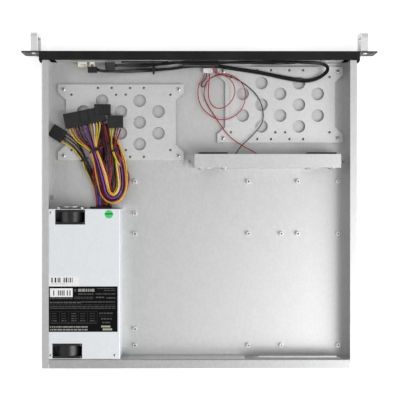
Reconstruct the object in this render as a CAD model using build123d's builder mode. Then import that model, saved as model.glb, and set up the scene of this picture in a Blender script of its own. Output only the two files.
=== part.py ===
import os
from math import cos, pi, radians, sin, tan

from build123d import *

os.makedirs("parts", exist_ok=True)

# An open 19-inch server case, one rack unit high. Sizes are in millimetres.
# The origin is the middle of the underside, +Z is up and the front panel faces -Y.

# Front panel and tub
panel_plate = 2.0
panel_depth = 12.2
lip_sheet = 1.2
lip_overhang = 3.3
cheek_depth = 15.5
cheek_corner = 3.0
sheet = 1.0
bend = 1.6
side_flange = 9.7
rear_setback = 12.5
head_room = 1.2
seat_gap = 0.2

# Rack ears, handles and what the front panel holds
rack_hole_inset = 5.975
rack_hole_radius = 3.2
rack_hole_gap = 0.35
rack_hole_edge = 5.55
handle_gap = 2.1
handle_width = 9.6
handle_reach = 27.3
handle_inset = 1.35
handle_bar = 6.5
handle_corner = 9.0
handle_edge = 1.0
handle_screw_head = 3.2
handle_screw_grip = 8.0
vent_slot = 3.0
vent_pitch = 6.5
vent_height = 24.0
vent_places = (-120.0, 75.0)
vent_counts = (14, 10)
notch_width = 9.0
notch_inset = 14.0
notch_foot = 5.0
relief_low = 34.0
relief_left = -165.0
relief_right = -25.0

# Switches, lights and front sockets
module_left = -26.0
module_right = 22.5
module_depth = 5.6
module_low = 14.0
module_high = 34.0
button_z = 24.0
power_x = 10.0
power_radius = 5.0
reset_x = -6.0
reset_radius = 2.2
button_proud = 1.4
button_travel = 1.5
button_cap = 4.0
stem_radius = 1.6
stem_clearance = 0.1
cap_clearance = 0.35
light_radius = 1.5
light_places = (-15.0, -21.0)
board_side_gap = 62.0
board_half = 22.0
board_low = 8.0
board_high = 35.0
board_sheet = 1.6
socket_width = 13.2
socket_height = 6.8
socket_offsets = (11.0, -8.0)
socket_z = 18.0
socket_gap = 0.4
header_offsets = (7.4, -5.8)
header_widths = (12.0, 6.4)
header_depth = 6.0
header_half = 4.0
header_z = 30.0

# Drive trays
wide_drive_y = 47.625
wide_drive_pitch = 44.45
wide_drive_x = 31.75
slim_drive_y = 38.3
slim_drive_near = 6.7
slim_drive_pitch = 61.72
drive_hole_radius = 1.7
drive_hole_edge = 4.875
light_hole_radius = 8.75
light_hole_pitch = 30.0
fold_margin = 8.59
joggle = 6.7
tray_step = 0.8
tab_length = 11.0
tab_depth = 11.5
tab_slope = 10.0
tray_top = 7.0
tray_screw_inset_x = 7.5
tray_screw_inset_y = 6.5
tray_left_side = 18.4
tray_left_front = 29.7
tray_right_side = 15.1
tray_right_front = 5.1

# The computer board's holes and their standoffs
board_columns = (0.0, 55.88, 78.74, 124.46, 281.94)
board_rows = (0.0, 154.94, 227.33)
unused_holes = ((0, 1), (2, 2))
extra_rows = (22.9, 182.9)
board_right_gap = 21.3
board_left_gap = 18.26
board_front_gap = 18.37
board_rear_gap = 14.0
standoff_height = 6.35
standoff_radius = 2.9
thread_radius = 1.5

# Forty-millimetre fans and their bracket
fan_size = 40.0
fan_depth = 20.0
fan_flange = 3.0
fan_rim = 1.4
fan_wall = 1.1
fan_corner = 3.0
fan_hole_radius = 1.75
fan_hole_inset = 4.0
fan_motor = 10.0
fan_mount = 2.0
fan_strut = 2.2
fan_shaft = 1.5
fan_bearing = 8.0
shaft_clearance = 0.05
rotor_hub = 9.2
rotor_wall = 1.2
rotor_clearance = 0.7
rotor_blades = 7
rotor_length = 13.0
blade_sheet = 0.9
blade_root = 9.0
blade_tip = 13.0
fan_low = 1.1
fan_front_gap = 14.5
bracket_side_gap = 22.1
bracket_flange = 18.5
bracket_foot = 14.0
bracket_foot_gap = 0.7
bracket_fan_margins = (25.5, 25.1)

# Power supply
psu_side_gap = 6.5
psu_rear_gap = 0.5
psu_length = 203.0
psu_low = 1.1
psu_sheet = 0.8
psu_inlet_margin = 12.0
psu_inlet_gap = 12.9
psu_rear_fan_margin = 8.1
psu_front_fan_margin = 12.1
psu_board_gap = 5.0
psu_board_side = 3.0
sink_offset = 22.0
sink_sheet = 3.0
sink_end = 12.0
sink_gap = 8.0
coil_size = 30.0
coil_height = 22.0
can_radius = 9.0
can_pitch = 22.0
can_height = 25.0
cover_screw_side = 5.7
cover_screw_left = 7.5
cover_screw_end = 5.0
cover_screw_head = 1.9
cover_screw_grip = 3.5
guard_wire = 1.2
guard_eye = 2.2
guard_leg = 1.6
guard_rim_gap = 2.1
guard_pitch = 5.0
inlet_z = 21.0
inlet_width = 27.0
inlet_height = 19.5
inlet_depth = 15.0
inlet_flange = 1.5
inlet_plate = 1.6
inlet_wall = 1.5
inlet_corner = 4.5
grommet_gap = 4.4
grommet_width = 30.0
grommet_height = 15.0
grommet_z = 9.6
grommet_proud = 3.0
grommet_wall = 1.2
stop_pin_side = 10.6
stop_pin_gap = 15.7
stop_pin_radius = 2.5
stop_pin_height = 6.0

# Rear panel
port_gap = 10.95
port_low = 4.2
port_top_gap = 3.8
psu_window_side = 1.6
psu_window_edge = 1.65
slot_margin = 21.0
slot_length = 118.0
slot_gap = 12.8
slot_lap = 6.0
slot_height = 14.0
slot_z = 26.0
slot_cover_lap = 2.2

# Screws
screw_head = 2.9
screw_head_height = 1.7
screw_shank = 1.4
screw_slack = 0.15

# Leads
main_lead = 12.0
side_lead = 6.0
corner_lead = 7.0
front_lead = 5.5
fan_lead = 1.4
board_plug = (20.0, 56.0, 11.6)
board_latch = 10.0
drive_plug = (17.0, 21.0, 7.8)
processor_plug = (20.0, 18.0, 10.4)
processor_latch = 5.0
front_plug = (13.0, 10.5, 5.4)
fan_plug_x = -12.0
fan_plug_width = 14.0
fan_plug_depth = 6.4
fan_plug_height = 7.4
fan_plug_gap = 7.4
fan_plug_wall = 1.5
tie_width = 2.4
tie_sheet = 1.2
tie_slack = 0.45
front_tie_x = 64.0
front_tie_y = -196.05
front_tie_z = 9.3
front_tie_length = 9.2
front_tie_turn = -42.5

# What the fans and the drives need sets the size of the fans' openings and of the trays
fan_bore = fan_size / 2 - fan_rim
fan_duct = fan_bore + fan_wall
fan_hole_spacing = fan_size - 2 * fan_hole_inset
rotor_tip = fan_bore - rotor_clearance
light_hole_column = light_hole_pitch * cos(radians(30))
tray_half_depth = wide_drive_y + drive_hole_edge
tray_fold = 2 * light_hole_column + light_hole_radius + fold_margin
tray_waist = tray_fold + joggle
tray_half_length = tray_waist + tab_length
tray_screw_x = tray_half_length - tray_screw_inset_x
tray_screw_y = tray_half_depth - tray_screw_inset_y

# Across, the tub holds the computer board and the power supply side by side: 428 mm in all
psu_width = psu_inlet_margin + inlet_width + psu_inlet_gap + fan_size + psu_rear_fan_margin
tub_width = board_right_gap + board_columns[-1] + board_left_gap + psu_width + psu_side_gap
lip_span = tub_width + 2 * lip_overhang
handle_x = lip_span / 2 + handle_gap + handle_width / 2
rack_hole_x = handle_x + handle_width / 2 + rack_hole_gap + rack_hole_radius
ear_span = 2 * (rack_hole_x + rack_hole_radius + rack_hole_edge)

# Upwards, a fan on its flange fills the tub under the lid: 43.7 mm with the panel's lip
psu_height = fan_size
tub_height = psu_low + psu_height + head_room
panel_height = tub_height + seat_gap + lip_sheet
rack_hole_spacing = panel_height - 2 * rack_hole_inset
handle_height = panel_height - 2 * handle_inset

# From front to rear: panel, tray, fans, computer board and rear panel, 430 mm in all
case_depth = (
    panel_depth
    + tray_right_front
    + 2 * tray_half_depth
    + fan_front_gap
    + fan_depth
    + sheet
    + board_front_gap
    + board_rows[-1]
    + board_rear_gap
    + rear_setback
)
case_front = -case_depth / 2
case_rear = case_depth / 2
wall_rear = case_front + panel_depth
wall_front = wall_rear - sheet
plate_rear = case_front + panel_plate
rear_wall = case_rear - rear_setback
board_x0 = -tub_width / 2 + board_right_gap
board_y0 = rear_wall - board_rear_gap
fan_z = fan_low + fan_size / 2
fan_front = wall_rear + tray_right_front + 2 * tray_half_depth + fan_front_gap
bracket_rear = fan_front + fan_depth + sheet
tray_places = (
    (tub_width / 2 - tray_left_side - tray_half_length, wall_rear + tray_left_front + tray_half_depth),
    (-tub_width / 2 + tray_right_side + tray_half_length, wall_rear + tray_right_front + tray_half_depth),
)
bracket_left = -tub_width / 2 + bracket_side_gap
bracket_right = tray_places[0][0] - tray_half_length - bracket_foot_gap - bracket_foot
bracket_fans = (bracket_left + bracket_fan_margins[0], bracket_right - bracket_fan_margins[1])
psu_right = tub_width / 2 - psu_side_gap
psu_left = psu_right - psu_width
psu_rear = rear_wall - psu_rear_gap
psu_front = psu_rear - psu_length
psu_top = psu_low + psu_height
psu_fan_rear_x = psu_right - psu_rear_fan_margin - fan_size / 2
psu_fan_front_x = psu_right - psu_front_fan_margin - fan_size / 2
inlet_x = psu_left + psu_inlet_margin + inlet_width / 2
grommet_x = psu_fan_front_x - fan_size / 2 - grommet_gap - grommet_width / 2
slot_centre = -tub_width / 2 + slot_margin + slot_length / 2
slot_window = slot_length - 2 * slot_lap
port_left = slot_centre + slot_length / 2 + slot_gap
port_right = psu_left - port_gap
port_high = tub_height - port_top_gap
board_centre = tub_width / 2 - board_side_gap
socket_places = [board_centre + offset for offset in socket_offsets]
handle_z = panel_height / 2
handle_arm = handle_height / 2 - handle_bar / 2


def across(y):
    """A plane across the case, seen from the front; extrusions go towards the front."""
    return Plane(origin=(0, y, 0), x_dir=(1, 0, 0), z_dir=(0, -1, 0))


def save(piece, name):
    piece.part.label = name
    export_step(piece.part, f"parts/{name}.step")


def box_between(low, high, mode=Mode.ADD):
    """A box from its lowest to its highest corner."""
    size = [b - a for a, b in zip(low, high)]
    with Locations(tuple((a + b) / 2 for a, b in zip(low, high))):
        Box(*size, mode=mode)


def front_openings():
    """What passes through the front: sockets, buttons and light pipes, seen from the front."""
    with Locations([(x, socket_z) for x in socket_places]):
        Rectangle(socket_width + 2 * socket_gap, socket_height + 2 * socket_gap)
    with Locations((power_x, button_z)):
        Circle(power_radius + cap_clearance)
    with Locations((reset_x, button_z)):
        Circle(reset_radius + cap_clearance)
    with Locations([(x, button_z) for x in light_places]):
        Circle(light_radius + cap_clearance)


# Tub: floor, side walls and turned-in flanges are one bend profile, the front wall is a flap
floor_front = wall_front
with BuildPart() as chassis_tub:
    half = tub_width / 2
    with BuildSketch(across(case_rear)):
        with BuildLine():
            FilletPolyline(
                (-half + side_flange, tub_height),
                (-half, tub_height),
                (-half, 0),
                (half, 0),
                (half, tub_height),
                (half - side_flange, tub_height),
                radius=bend,
            )
            offset(amount=sheet, side=Side.LEFT)
        make_face()
    extrude(amount=case_rear - floor_front)
    with BuildSketch(across(wall_rear)):
        with Locations((0, (tub_height + sheet / 2) / 2)):
            Rectangle(tub_width - 2 * sheet - 2 * seat_gap, tub_height - sheet / 2)
        with Locations([(side * (half - notch_inset), notch_foot + tub_height / 2) for side in (-1, 1)]):
            Rectangle(notch_width, tub_height, mode=Mode.SUBTRACT)
        with Locations(((relief_left + relief_right) / 2, relief_low + tub_height / 2)):
            Rectangle(relief_right - relief_left, tub_height, mode=Mode.SUBTRACT)
        for x, count in zip(vent_places, vent_counts):
            with Locations((x, vent_height / 2 + notch_foot)):
                Rectangle(vent_pitch * count, vent_height, mode=Mode.SUBTRACT)
        with BuildSketch(mode=Mode.SUBTRACT):
            front_openings()
    extrude(amount=sheet)

save(chassis_tub, "chassis_tub")

# Rear panel: a folded sheet whose top and bottom flanges turn to the rear
with BuildPart() as rear_panel:
    panel_half = tub_width / 2 - sheet - seat_gap
    with BuildSketch(Plane.YZ.offset(-panel_half)):
        with BuildLine():
            FilletPolyline(
                (case_rear, sheet + seat_gap),
                (rear_wall, sheet + seat_gap),
                (rear_wall, tub_height),
                (case_rear, tub_height),
                radius=bend,
            )
            offset(amount=sheet, side=Side.RIGHT)
        make_face()
    extrude(amount=2 * panel_half)
    corner = side_flange - sheet
    for side in (-1, 1):
        x = side * (panel_half - corner / 2)
        with Locations((x, (rear_wall + case_rear) / 2, tub_height)):
            Box(corner + 2 * seat_gap, case_rear - rear_wall + bend, 3 * sheet, mode=Mode.SUBTRACT)
    with BuildSketch(across(rear_wall + sheet)):
        with Locations(((port_left + port_right) / 2, (port_low + port_high) / 2)):
            Rectangle(port_right - port_left, port_high - port_low)
        with Locations(((psu_left + psu_right) / 2, fan_z)):
            Rectangle(psu_width - 2 * psu_window_side, psu_height - 2 * psu_window_edge)
        with Locations((slot_centre, slot_z)):
            Rectangle(slot_window, slot_height)
        with Locations((slot_centre - slot_length / 2 + screw_head, slot_z)):
            Circle(thread_radius)
    extrude(amount=2 * sheet, both=True, mode=Mode.SUBTRACT)

save(rear_panel, "rear_panel")

# Card slot cover: a flat strip with a stiffening edge, screwed at one end
slot_screw_x = slot_centre - slot_length / 2 + screw_head
with BuildPart() as slot_cover:
    with BuildSketch(across(rear_wall)):
        with Locations((slot_centre, slot_z)):
            RectangleRounded(slot_length, slot_height + 2 * slot_cover_lap, bend)
        with Locations((slot_screw_x, slot_z)):
            Circle(screw_shank + screw_slack, mode=Mode.SUBTRACT)
    extrude(amount=sheet)
    with BuildSketch(across(rear_wall - sheet)):
        with Locations((slot_centre, slot_z)):
            Rectangle(slot_window, slot_height)
            Rectangle(slot_window - 2 * sheet, slot_height - 2 * sheet, mode=Mode.SUBTRACT)
    extrude(amount=2 * sheet)

save(slot_cover, "slot_cover")

# Front panel: plate with two rack ears, top and bottom lips and side cheeks
with BuildPart() as front_panel:
    with BuildSketch(across(plate_rear)):
        with Locations((0, panel_height / 2)):
            RectangleRounded(ear_span, panel_height, 1.5)
        for side in (-1, 1):
            with Locations((side * rack_hole_x, panel_height / 2)):
                with GridLocations(1, rack_hole_spacing, 1, 2):
                    Circle(rack_hole_radius, mode=Mode.SUBTRACT)
            with Locations((side * handle_x, handle_z)):
                with GridLocations(1, 2 * handle_arm, 1, 2):
                    Circle(screw_shank + screw_slack, mode=Mode.SUBTRACT)
        with BuildSketch(mode=Mode.SUBTRACT):
            front_openings()
            for x, count in zip(vent_places, vent_counts):
                with Locations((x, notch_foot + vent_height / 2)):
                    with GridLocations(vent_pitch, 1, count, 1):
                        Rectangle(vent_slot, vent_height)
    extrude(amount=panel_plate)
    with BuildSketch(Plane.XY.offset(panel_height - lip_sheet)):
        with BuildLine():
            Polyline(
                (-lip_span / 2, plate_rear),
                (lip_span / 2, plate_rear),
                (lip_span / 2, wall_rear),
                (-lip_span / 2, wall_rear),
                close=True,
            )
        make_face()
    extrude(amount=lip_sheet)
    box_between((-lip_span / 2, plate_rear, 0), (lip_span / 2, wall_front - seat_gap, lip_sheet))
    cheek_inner = tub_width / 2 + seat_gap
    for side in (-1, 1):
        with BuildSketch(Plane.XY):
            with BuildLine():
                Polyline(
                    (side * cheek_inner, plate_rear),
                    (side * lip_span / 2, plate_rear),
                    (side * lip_span / 2, case_front + cheek_depth - cheek_corner),
                    (side * (lip_span / 2 - cheek_corner / 2), case_front + cheek_depth),
                    (side * cheek_inner, case_front + cheek_depth),
                    close=True,
                )
            make_face()
        extrude(amount=panel_height)

save(front_panel, "front_panel")


def handle(side, name):
    """A D handle of rounded aluminium bar, drilled from behind at both arms."""
    front = case_front - handle_reach
    with BuildPart() as piece:
        with BuildSketch(Plane.YZ.offset(side * handle_x - handle_width / 2)):
            with Locations(((front + case_front + handle_corner) / 2, handle_z)):
                RectangleRounded(handle_reach + handle_corner, handle_height, handle_corner - 0.1)
            with Locations(((front + case_front + handle_corner) / 2 + handle_bar, handle_z)):
                RectangleRounded(
                    handle_reach + handle_corner,
                    handle_height - 2 * handle_bar,
                    handle_corner - handle_bar,
                    mode=Mode.SUBTRACT,
                )
            with Locations((case_front + handle_corner, handle_z)):
                Rectangle(2 * handle_corner, handle_height + 2, mode=Mode.SUBTRACT)
        extrude(amount=handle_width)
        sides = piece.faces().sort_by(Axis.X)
        rims = (sides[0].edges() + sides[-1].edges()).filter_by(lambda e: e.center().Y < case_front - 0.1)
        fillet(rims, handle_edge)
        with Locations(Plane(origin=(side * handle_x, case_front, handle_z), z_dir=(0, 1, 0))):
            with GridLocations(2 * handle_arm, 1, 2, 1):
                Hole(screw_shank + screw_slack, depth=10)
            with GridLocations(1, 2 * handle_arm, 1, 2):
                Hole(screw_shank + screw_slack, depth=10)
    save(piece, name)


handle(1, "handle_left")
handle(-1, "handle_right")


def screw(place, direction, length, head=screw_head):
    """A pan-head screw: its head stands on the given place, its shank runs against the direction."""
    with Locations(Plane(origin=place, z_dir=direction)):
        Cylinder(head, screw_head_height, align=(Align.CENTER, Align.CENTER, Align.MIN))
        Cylinder(screw_shank, length, align=(Align.CENTER, Align.CENTER, Align.MAX))


with BuildPart() as handle_screws:
    for side in (-1, 1):
        for arm in (-1, 1):
            place = (side * handle_x, plate_rear, handle_z + arm * handle_arm)
            screw(place, (0, 1, 0), panel_plate + handle_screw_grip, handle_screw_head)

save(handle_screws, "handle_screws")


def tray(place, name):
    """A drive tray: a pierced plate, folded down at the front and rear, with four flared tabs."""
    low = tray_top - sheet
    wide_x = (wide_drive_x, wide_drive_x - wide_drive_pitch)
    slim_x = (slim_drive_near, slim_drive_near + slim_drive_pitch)
    row = light_hole_pitch
    column = light_hole_column
    with BuildPart() as piece:
        with BuildSketch(Plane.XY.offset(low)) as outline:
            with BuildLine():
                Polyline(
                    (0, 0),
                    (0, tray_half_depth),
                    (tray_half_length, tray_half_depth),
                    (tray_half_length, tray_half_depth - tab_depth),
                    (tray_waist, tray_half_depth - tab_depth - tab_slope),
                    (tray_fold, tray_half_depth - tab_depth - tab_slope),
                    (tray_fold, 0),
                    close=True,
                )
            make_face()
            mirror(about=Plane.YZ)
            mirror(about=Plane.XZ)
            with Locations([(x, y) for x in (-column, column) for y in (-row, 0, row)]):
                Circle(light_hole_radius, mode=Mode.SUBTRACT)
            with Locations([(x, y) for x in (-2 * column, 0, 2 * column) for y in (-row / 2, row / 2)]):
                Circle(light_hole_radius, mode=Mode.SUBTRACT)
            with Locations([(s * x, t * wide_drive_y) for x in wide_x for s in (-1, 1) for t in (-1, 1)]):
                Circle(drive_hole_radius, mode=Mode.SUBTRACT)
            with Locations([(s * x, t * slim_drive_y) for x in slim_x for s in (-1, 1) for t in (-1, 1)]):
                Circle(drive_hole_radius, mode=Mode.SUBTRACT)
            with GridLocations(2 * tray_screw_x, 2 * tray_screw_y, 2, 2):
                Circle(screw_shank + screw_slack, mode=Mode.SUBTRACT)
        extrude(amount=sheet)
        with BuildSketch(Plane.XY.offset(low - tray_step)):
            with Locations([(s * (tray_waist + tray_fold - sheet) / 2, 0) for s in (-1, 1)]):
                Rectangle(tray_waist - tray_fold + sheet, 2 * (tray_half_depth - tab_depth - tab_slope))
        extrude(amount=sheet)
        for edge in (-1, 1):
            with Locations((0, edge * (tray_half_depth - sheet / 2), (low + sheet + seat_gap) / 2)):
                Box(2 * tray_half_length, sheet, low - sheet - seat_gap)
    moved = piece.part.moved(Location((*place, 0)))
    moved.label = name
    export_step(moved, f"parts/{name}.step")


tray(tray_places[0], "drive_tray_left")
tray(tray_places[1], "drive_tray_right")

tray_corners = [
    (x + s * tray_screw_x, y + t * tray_screw_y) for x, y in tray_places for s in (-1, 1) for t in (-1, 1)
]
with BuildPart() as tray_posts:
    with BuildSketch(Plane.XY.offset(sheet)):
        with Locations(tray_corners):
            Circle(screw_head)
            Circle(screw_shank + screw_slack, mode=Mode.SUBTRACT)
    extrude(amount=tray_top - 2 * sheet)

save(tray_posts, "tray_posts")

with BuildPart() as tray_screws:
    for x, y in tray_corners:
        screw((x, y, tray_top), (0, 0, 1), tray_top - 2 * sheet)

save(tray_screws, "tray_screws")

# Standoffs: hexagonal pillars pressed into the floor, threaded from above
standoff_places = [
    (board_x0 + x, board_y0 - y)
    for row, y in enumerate(board_rows)
    for column, x in enumerate(board_columns)
    if (row, column) not in unused_holes
]
standoff_places += [(board_x0 + board_columns[-1], board_y0 - y) for y in extra_rows]
with BuildPart() as board_standoffs:
    with BuildSketch(Plane.XY.offset(sheet)):
        with Locations(standoff_places):
            RegularPolygon(standoff_radius, 6)
            Circle(thread_radius, mode=Mode.SUBTRACT)
    extrude(amount=standoff_height)

save(board_standoffs, "board_standoffs")

# Stop pin in the floor, in front of the power supply
with BuildPart() as stop_pin:
    with BuildSketch(Plane.XY.offset(sheet)):
        with Locations((tub_width / 2 - stop_pin_side, psu_front - stop_pin_gap)):
            Circle(stop_pin_radius)
    extrude(amount=stop_pin_height)
    chamfer(stop_pin.edges().sort_by(Axis.Z)[-1], 0.8)

save(stop_pin, "stop_pin")

# Fan bracket: a rear wall with a top flange, end walls and a foot at each end
foot_y = bracket_rear - bracket_flange / 2
with BuildPart() as fan_bracket:
    top = fan_low + fan_size + sheet
    front = bracket_rear - bracket_flange
    base = sheet + seat_gap / 2
    box_between((bracket_left, bracket_rear - sheet, base), (bracket_right, bracket_rear, top))
    box_between((bracket_left, front, top - sheet), (bracket_right, bracket_rear, top))
    box_between((bracket_left, front, base), (bracket_left + sheet, bracket_rear, top))
    box_between((bracket_right - sheet, front, base), (bracket_right, bracket_rear, top))
    for edge, side in ((bracket_left, -1), (bracket_right, 1)):
        with BuildSketch(Plane.XY.offset(base)):
            with Locations((edge + side * bracket_foot / 2 - side * sheet / 2, foot_y)):
                Rectangle(bracket_foot + sheet, bracket_flange)
            with Locations((edge + side * bracket_foot / 2, foot_y)):
                Circle(screw_shank + screw_slack, mode=Mode.SUBTRACT)
        extrude(amount=sheet)
    with BuildSketch(across(bracket_rear)):
        with Locations([(x, fan_z) for x in bracket_fans]):
            Circle(fan_bore)
            with GridLocations(fan_hole_spacing, fan_hole_spacing, 2, 2):
                Circle(screw_shank + screw_slack)
    extrude(amount=sheet, mode=Mode.SUBTRACT)

save(fan_bracket, "fan_bracket")

with BuildPart() as bracket_screws:
    for edge, side in ((bracket_left, -1), (bracket_right, 1)):
        screw((edge + side * bracket_foot / 2, foot_y, base + sheet), (0, 0, 1), sheet)

save(bracket_screws, "bracket_screws")

with BuildPart() as fan_screws:
    for x in bracket_fans:
        for s in (-1, 1):
            place = (x + s * fan_hole_spacing / 2, bracket_rear, fan_z + s * fan_hole_spacing / 2)
            screw(place, (0, 1, 0), sheet + fan_flange)

save(fan_screws, "fan_screws")


def fan(centre_x, front, name, motor_at_front=False):
    """A 40 mm axial fan: its frame with motor mount and struts, and its rotor with seven blades.

    The frame's front face is at the given place. The motor mount is at its rear face, or at its
    front face where the fan is turned round.
    """
    turn = -1 if motor_at_front else 1
    middle = front + fan_depth / 2
    motor_end = middle + turn * fan_depth / 2
    centre = (centre_x, fan_z)
    with BuildPart() as frame:
        for rear in (front + fan_flange, front + fan_depth):
            with BuildSketch(across(rear)):
                with Locations(centre):
                    RectangleRounded(fan_size, fan_size, fan_corner)
                    with GridLocations(fan_hole_spacing, fan_hole_spacing, 2, 2):
                        Circle(fan_hole_radius, mode=Mode.SUBTRACT)
            extrude(amount=fan_flange)
        with BuildSketch(across(front + fan_depth)):
            with Locations(centre):
                Circle(fan_duct)
        extrude(amount=fan_depth)
        with BuildSketch(across(front + fan_depth)):
            with Locations(centre):
                Circle(fan_bore)
        extrude(amount=fan_depth, mode=Mode.SUBTRACT)
        with BuildSketch(across(motor_end)):
            with Locations(centre):
                Circle(fan_motor)
                Rectangle(2 * fan_duct - 0.4, fan_strut)
                Rectangle(fan_strut, 2 * fan_duct - 0.4)
        extrude(amount=turn * fan_mount)
        with BuildSketch(across(motor_end)):
            with Locations(centre):
                Circle(fan_shaft + fan_mount)
        extrude(amount=turn * fan_bearing)
        with BuildSketch(across(motor_end)):
            with Locations(centre):
                Circle(fan_shaft + shaft_clearance)
        extrude(amount=turn * fan_bearing, mode=Mode.SUBTRACT)
    save(frame, f"{name}_frame")

    # The rotor is a cup over the motor, with a shaft and twisted blades
    cup_end = motor_end - turn * 3
    cup_start = cup_end - turn * rotor_length
    with BuildPart() as rotor:
        with BuildSketch(across(cup_end)):
            with Locations(centre):
                Circle(rotor_hub)
                Circle(rotor_hub - rotor_wall, mode=Mode.SUBTRACT)
        extrude(amount=turn * rotor_length)
        with BuildSketch(across(cup_start + turn * 1.5)):
            with Locations(centre):
                Circle(rotor_hub)
        extrude(amount=turn * 1.5)
        with BuildSketch(across(motor_end - turn * 0.5)):
            with Locations(centre):
                Circle(fan_shaft)
        extrude(amount=turn * (rotor_length + 1.5))
        for blade in range(rotor_blades):
            angle = 360 / rotor_blades * blade
            direction = Vector(cos(radians(angle)), 0, sin(radians(angle)))
            sections = []
            for reach, chord, pitch in ((rotor_hub - 0.2, blade_root, 36), (rotor_tip, blade_tip, 52)):
                radius = (reach**2 - (chord / 2 * sin(radians(pitch)) + blade_sheet / 2) ** 2) ** 0.5
                place = Vector(centre_x, (cup_start + cup_end) / 2, fan_z) + direction * radius
                with BuildSketch(Plane(origin=place, x_dir=(0, 1, 0), z_dir=direction)) as section:
                    Rectangle(chord, blade_sheet, rotation=pitch)
                sections.append(section.sketch)
            loft(sections)
    save(rotor, f"{name}_rotor")


fan(bracket_fans[1], fan_front, "fan_left")
fan(bracket_fans[0], fan_front, "fan_right")
fan(psu_fan_front_x, psu_front + psu_sheet, "psu_fan_front", motor_at_front=True)
fan(psu_fan_rear_x, psu_rear - psu_sheet - fan_depth, "psu_fan_rear")

# Power supply base: bottom, front wall and rear wall in one fold, with posts for the board
board_post = 4.0
base_left = psu_left + psu_sheet + seat_gap / 2
base_right = psu_right - psu_sheet - seat_gap / 2
base_top = psu_top - psu_sheet - seat_gap / 2
post_x = ((base_left + 8), (base_right - 8))
post_y = (psu_front + fan_depth + 12, psu_rear - fan_depth - 12)
psu_fans = (
    (psu_fan_front_x, psu_front + psu_sheet, psu_front, -1),
    (psu_fan_rear_x, psu_rear - psu_sheet - fan_depth, psu_rear, 1),
)
with BuildPart() as psu_base:
    with BuildSketch(Plane.YZ.offset(base_left)):
        with BuildLine():
            FilletPolyline(
                (psu_front, base_top),
                (psu_front, psu_low),
                (psu_rear, psu_low),
                (psu_rear, base_top),
                radius=bend,
            )
            offset(amount=psu_sheet, side=Side.LEFT)
        make_face()
    extrude(amount=base_right - base_left)
    with BuildSketch(Plane.XY.offset(psu_low + psu_sheet)):
        with Locations([(x, y) for x in post_x for y in post_y]):
            Circle(screw_head)
    extrude(amount=board_post)
    for x, fan_start, face, side in psu_fans:
        box_between(
            (x - fan_size / 2 - seat_gap, fan_start - seat_gap / 2, psu_low - 1),
            (x + fan_size / 2 + seat_gap, fan_start + fan_depth + seat_gap / 2, psu_low + psu_sheet + 1),
            Mode.SUBTRACT,
        )
        with BuildSketch(across(face)):
            with Locations((x, fan_z)):
                Circle(fan_bore)
                with GridLocations(fan_hole_spacing, fan_hole_spacing, 2, 2):
                    Circle(screw_shank + screw_slack)
        extrude(amount=2 * psu_sheet, both=True, mode=Mode.SUBTRACT)
    with BuildSketch(across(psu_rear)):
        with Locations((inlet_x, inlet_z)):
            Rectangle(inlet_width, inlet_height)
    extrude(amount=2 * psu_sheet, both=True, mode=Mode.SUBTRACT)
    with BuildSketch(across(psu_front)):
        with Locations((grommet_x, grommet_z)):
            RectangleRounded(grommet_width - 2, grommet_height - 2, 3)
    extrude(amount=2 * psu_sheet, both=True, mode=Mode.SUBTRACT)
    fillet(psu_base.edges().filter_by(Axis.Y).group_by(Axis.Z)[-1], 1.2)

save(psu_base, "psu_base")

# Power supply cover: top and sides in one fold, open over both fans
cover_screws = [
    (psu_right - cover_screw_side, psu_front + cover_screw_end),
    (psu_right - cover_screw_side, psu_rear - cover_screw_end),
    (psu_left + cover_screw_left, psu_rear - cover_screw_end),
]
with BuildPart() as psu_cover:
    with BuildSketch(across(psu_rear)):
        with BuildLine():
            FilletPolyline(
                (psu_left, psu_low),
                (psu_left, psu_top),
                (psu_right, psu_top),
                (psu_right, psu_low),
                radius=bend,
            )
            offset(amount=psu_sheet, side=Side.RIGHT)
        make_face()
    extrude(amount=psu_length)
    for x, fan_start, face, side in psu_fans:
        reach = sorted((fan_start + fan_depth / 2 - side * (fan_depth / 2 + seat_gap / 2), face + side))
        box_between(
            (x - fan_size / 2 - seat_gap, reach[0], psu_top - psu_sheet - 1),
            (x + fan_size / 2 + seat_gap, reach[1], psu_top + 1),
            Mode.SUBTRACT,
        )
    with Locations(Plane.XY.offset(psu_top)):
        with Locations(cover_screws):
            Hole(screw_shank + screw_slack, depth=2 * psu_sheet)

save(psu_cover, "psu_cover")

with BuildPart() as cover_screw_set:
    for x, y in cover_screws:
        with Locations((x, y, psu_top)):
            Cylinder(cover_screw_head, psu_sheet, align=(Align.CENTER, Align.CENTER, Align.MIN))
            Cylinder(screw_shank, cover_screw_grip, align=(Align.CENTER, Align.CENTER, Align.MAX))

save(cover_screw_set, "psu_cover_screws")

# Circuit board inside the power supply, with its heat sinks, transformer and capacitors
with BuildPart() as psu_board:
    floor = psu_low + psu_sheet + board_post
    deck = floor + board_sheet
    y_low = psu_front + fan_depth + psu_board_gap
    y_high = psu_rear - fan_depth - psu_board_gap
    edge = psu_board_side
    box_between((base_left + edge, y_low, floor), (base_right - edge, y_high, deck))
    for side in (-1, 1):
        x = (psu_left + psu_right) / 2 + side * sink_offset
        sink_low = (x - sink_sheet / 2, y_low + sink_end, deck)
        box_between(sink_low, (x + sink_sheet / 2, y_high - sink_end, psu_top - sink_gap))
    with Locations(((psu_left + psu_right) / 2, y_high - sink_end - coil_size / 2, deck + coil_height / 2)):
        Box(coil_size, coil_size, coil_height)
    for place in range(2):
        y = y_low + sink_end + can_radius + place * can_pitch
        with Locations(((psu_left + psu_right) / 2, y, deck)):
            Cylinder(can_radius, can_height, align=(Align.CENTER, Align.CENTER, Align.MIN))

save(psu_board, "psu_board")

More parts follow.
